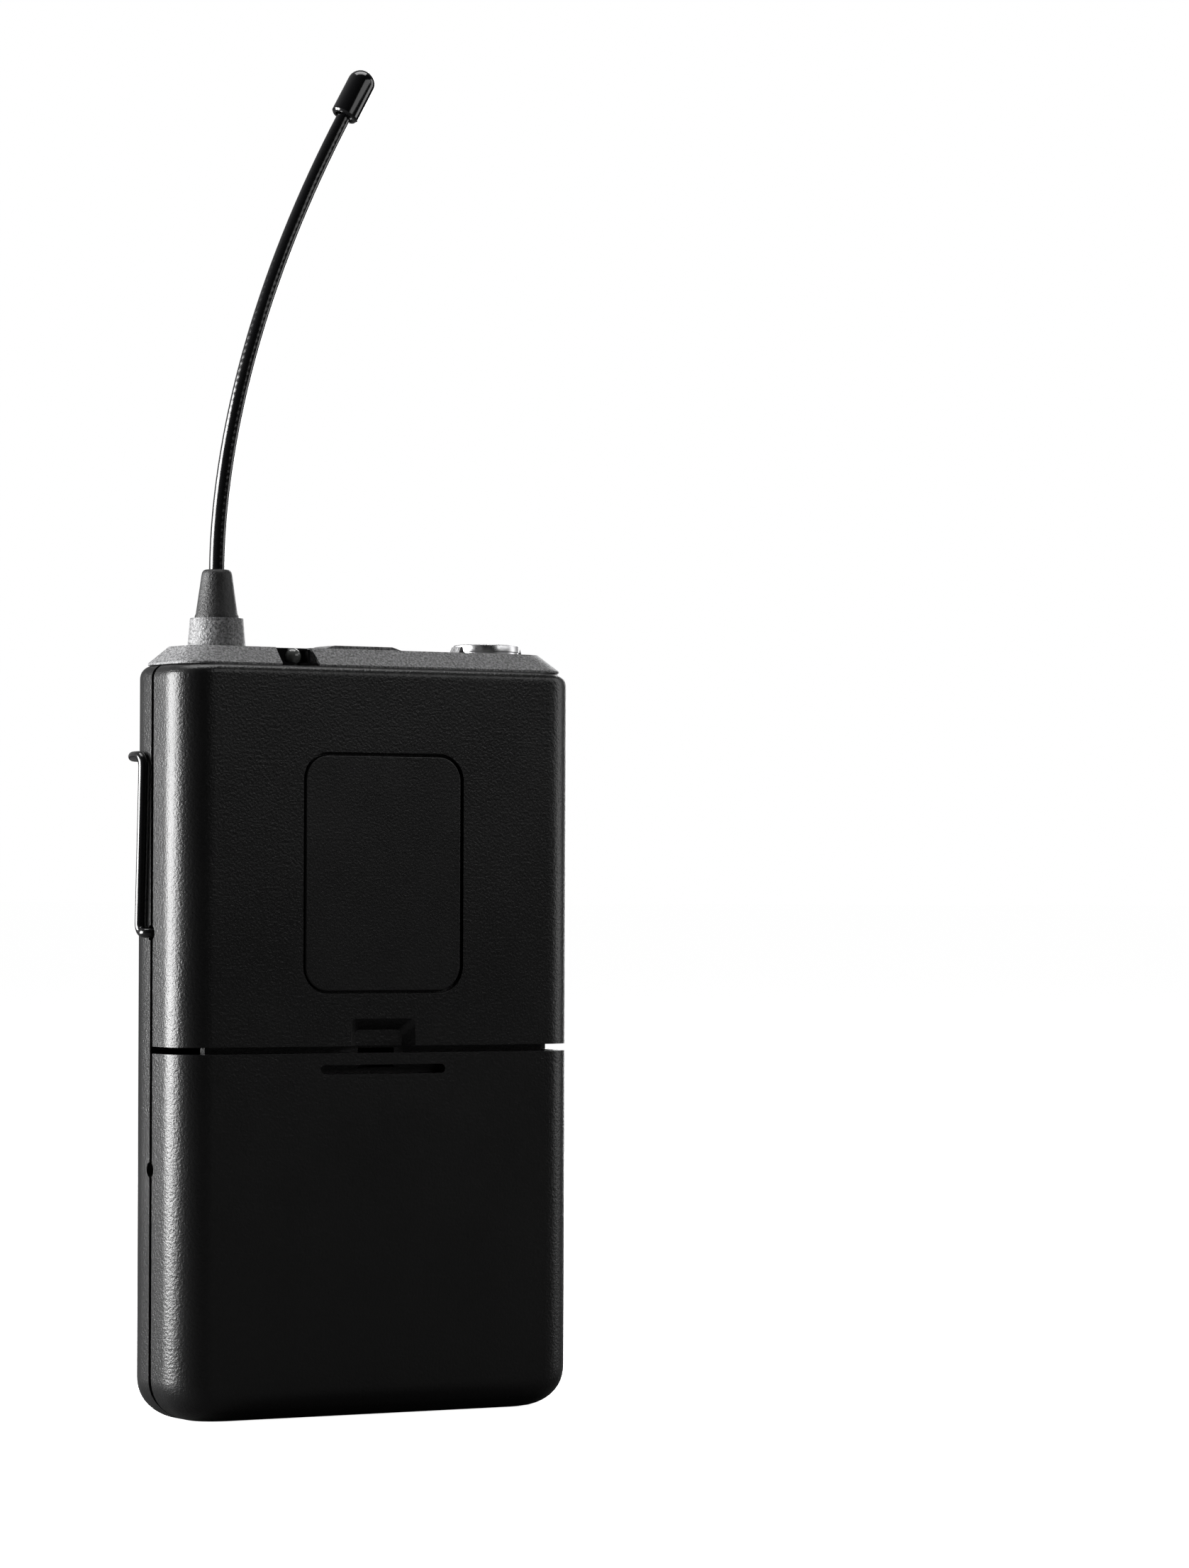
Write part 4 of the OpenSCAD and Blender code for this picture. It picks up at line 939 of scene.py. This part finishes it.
# %% Clip tongue
bend_z, flare_z = CLIP_TOP - 48, CLIP_TOP - 58
near_y, flare_y = CLIP_BACK - 0.35, CLIP_BACK + 3.4
half_tongue = [(LEG_END - 0.05, CLIP_BACK, CLIP_TOP), (TONGUE_HALF, CLIP_BACK, CLIP_TOP),
               (TONGUE_HALF, near_y, bend_z), (TONGUE_HALF - 1, flare_y, flare_z)]
tongue_path = [(-x, y, z) for x, y, z in half_tongue] + half_tongue[::-1]
tongue = bent_wire("tongue", tongue_path, [2.2, 8, 4.5, 4.5, 8, 2.2])
place(tongue, "clip_tongue", "clip_tongue", "clip_wire", wire_black, "belt_clip_tongue")

# %% [markdown]
# ## Battery cells
# Behind the door lie two cells, side by side and turned opposite ways. A cell is a steel can in a
# printed sleeve that curls over both rims. Its profile is spun about its own axis and laid along X.
# The sleeve's colours are plain bands along the cell, without lettering.

# %% Cells
CELL_Y, CELL_R, CELL_L = -0.3, 7.25, 49.5
sleeve_print = finish("sleeve_print", (0.02, 0.10, 0.07), 0.22, coat=0.4)
bands = pattern(sleeve_print, "ShaderNodeTexGradient", 50 * MM)
tint(sleeve_print, bands.outputs["Fac"], (0.012, 0.055, 0.045), (0.62, 0.45, 0.12), 0.26, 0.262)
grain(sleeve_print, 0.6 * MM, 0.012 * MM)
can_steel = finish("can_steel", (0.62, 0.62, 0.61), 0.28, metallic=1.0)
grain(can_steel, 0.3 * MM, 0.012 * MM, 3)
drift(can_steel, 2 * MM, "Roughness", 0.2, 0.36)


def cell_sleeve():
    """The printed sleeve, curled over both rims of the can."""
    low_rim = [(6.1, 0.05), (6.55, 0), (6.9, 0.1), (7.15, 0.35), (CELL_R, 0.7)]
    high_rim = [(CELL_R, 0.9), (7.1, 0.45), (6.75, 0.18), (6.2, 0.1), (6.2, 0.35), (6.85, 0.8)]
    return low_rim + [(r, CELL_L - below) for r, below in high_rim] + [(7.0, 1), (6.3, 0.4), (6.1, 0.05)]


def cell_can():
    """The steel ends and the nub, inside the sleeve."""
    low_end = [(0, 0.15), (5.2, 0.15), (5.5, 0.05), (6.3, 0.05), (6.95, 0.6)]
    high_end = [(6.95, -0.9), (6.3, -0.35), (3.7, -0.3), (3.4, -0.12), (2.9, 0), (2.75, 0.2), (2.75, 0.7),
                (2.45, 1), (0, 1)]
    return low_end + [(r, CELL_L + above) for r, above in high_end]


def lay_cell(profile, node_name):
    """Spins a profile and lays it where the frame has that cell, with its nub at the same end."""
    made = turned(profile, 0, 0, 56)
    low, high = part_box(node_name)
    mid_z = (low.z + high.z) / 2
    nub_right = node_name == "battery_cell_lower"
    start = low.x if nub_right else high.x
    turn = Matrix.Rotation(pi / 2 if nub_right else -pi / 2, 4, "Y")
    made.data.transform(Matrix.Translation((start, CELL_Y * MM, mid_z)) @ turn)
    return soften(made, 0)


for cell_node in ("battery_cell_lower", "battery_cell_upper"):
    short = cell_node.replace("battery_cell_", "cell_")
    sleeve = lay_cell(cell_sleeve(), cell_node)
    place(sleeve, short + "_sleeve", "root", "cell_jacket", sleeve_print, cell_node)
    can = lay_cell(cell_can(), cell_node)
    place(can, short + "_can", "root", "cell_jacket", can_steel)

# %% [markdown]
# ## Inside parts
# The frame's own boards, screws, springs and contacts already have their true shapes. They keep
# those meshes and only get a finish. A circuit board is fibreglass under green lacquer, with copper
# lines that show through as a paler green. Tin plate is bright with a faint grain, and moulded epoxy
# is matt.

# %% Inside finishes
board_green = finish("board_green", (0.008, 0.10, 0.045), 0.26, coat=0.25)
lines = pattern(board_green, "ShaderNodeTexBrick", 4 * MM)
lines.inputs["Color1"].default_value = (0.008, 0.10, 0.045, 1)
lines.inputs["Color2"].default_value = (0.010, 0.12, 0.055, 1)
lines.inputs["Mortar"].default_value = (0.03, 0.22, 0.10, 1)
lines.inputs["Mortar Size"].default_value = 0.03
board_green.node_tree.nodes["Mapping"].inputs["Rotation"].default_value = (pi / 2, 0, 0)
board_green.node_tree.links.new(lines.outputs["Color"],
                                board_green.node_tree.nodes["Principled BSDF"].inputs["Base Color"])
relief(board_green, lines.outputs["Fac"], -0.02 * MM)
grain(board_green, 0.5 * MM, 0.008 * MM)

bright_steel = finish("bright_steel", (0.60, 0.60, 0.59), 0.30, metallic=1.0)
grain(bright_steel, 0.15 * MM, 0.012 * MM, 3)
drift(bright_steel, 1.2 * MM, "Roughness", 0.22, 0.40)
screw_black = finish("screw_black", (0.02, 0.02, 0.021), 0.36, metallic=0.6)
grain(screw_black, 0.15 * MM, 0.015 * MM, 3)
drift(screw_black, 0.8 * MM, "Roughness", 0.28, 0.46)
tin_plate = finish("tin_plate", (0.66, 0.66, 0.65), 0.33, metallic=1.0)
brushing = pattern(tin_plate, "ShaderNodeTexNoise", 0.6 * MM, (1, 1, 0.06))
brushing.inputs["Detail"].default_value = 4
relief(tin_plate, brushing.outputs[0], 0.02 * MM)
drift(tin_plate, 4 * MM, "Roughness", 0.26, 0.42)
spring_nickel = finish("spring_nickel", (0.68, 0.65, 0.58), 0.24, metallic=1.0)
grain(spring_nickel, 0.2 * MM, 0.010 * MM, 2)
drift(spring_nickel, 2.5 * MM, "Roughness", 0.18, 0.34)
gold_plate = finish("gold_plate", (0.86, 0.58, 0.20), 0.20, metallic=1.0)
grain(gold_plate, 0.2 * MM, 0.008 * MM)
turned_brass = finish("turned_brass", (0.72, 0.50, 0.20), 0.28, metallic=1.0)
rings = pattern(turned_brass, "ShaderNodeTexWave", 0.5 * MM, bands_direction="Z")
relief(turned_brass, rings.outputs[0], 0.02 * MM)
tray_black = finish("tray_black", (0.020, 0.020, 0.021), 0.42)
grain(tray_black, 0.5 * MM, 0.05 * MM, 3)
drift(tray_black, 8 * MM, "Roughness", 0.36, 0.48)
epoxy_black = finish("epoxy_black", (0.016, 0.016, 0.017), 0.50)
grain(epoxy_black, 0.2 * MM, 0.03 * MM, 3)
ceramic = finish("ceramic", (0.52, 0.49, 0.42), 0.45)
grain(ceramic, 0.25 * MM, 0.02 * MM, 3)
rotor_white = finish("rotor_white", (0.78, 0.77, 0.73), 0.34)
grain(rotor_white, 0.3 * MM, 0.015 * MM)
switch_red = finish("switch_red", (0.46, 0.03, 0.022), 0.34)
slides = pattern(switch_red, "ShaderNodeTexNoise", 0.4 * MM)
tint(switch_red, slides.outputs[0], (0.40, 0.022, 0.018), (0.52, 0.04, 0.028))
grain(switch_red, 0.3 * MM, 0.015 * MM)
can_sleeve = finish("can_sleeve", (0.02, 0.02, 0.06), 0.25, coat=0.3)
stripe = pattern(can_sleeve, "ShaderNodeTexNoise", 3 * MM)
tint(can_sleeve, stripe.outputs[0], (0.014, 0.014, 0.05), (0.03, 0.03, 0.09))
grain(can_sleeve, 0.5 * MM, 0.01 * MM)
winding = finish("winding", (0.32, 0.12, 0.035), 0.30, metallic=0.7)
turns = pattern(winding, "ShaderNodeTexWave", 0.7 * MM, bands_direction="Y")
relief(winding, turns.outputs[0], 0.06 * MM)

inside = {
    board_green: ("main_board", "control_board", "jack_board"),
    bright_steel: ("door_hinge_pins", "tray_screws", "board_screws", "cap_screws", "jack_nut"),
    screw_black: ("case_screws",),
    tin_plate: ("shield_can", "crystal_can", "switch_body"),
    spring_nickel: ("contact_plates", "contact_springs"),
    gold_plate: ("jack_pins",),
    turned_brass: ("antenna_foot",),
    tray_black: ("battery_tray",),
    epoxy_black: ("circuit_chips", "jack_insulator"),
    ceramic: ("trimmer_body",),
    rotor_white: ("gain_trimmer",),
    switch_red: ("channel_switch",),
    can_sleeve: ("capacitors",),
    winding: ("coils",),
    gloss_black: ("led_bezel",),
}
for material, names in inside.items():
    for name in names:
        nodes[name].data.materials.clear()
        nodes[name].data.materials.append(material)
print("finished", sum(len(names) for names in inside.values()), "inside parts")
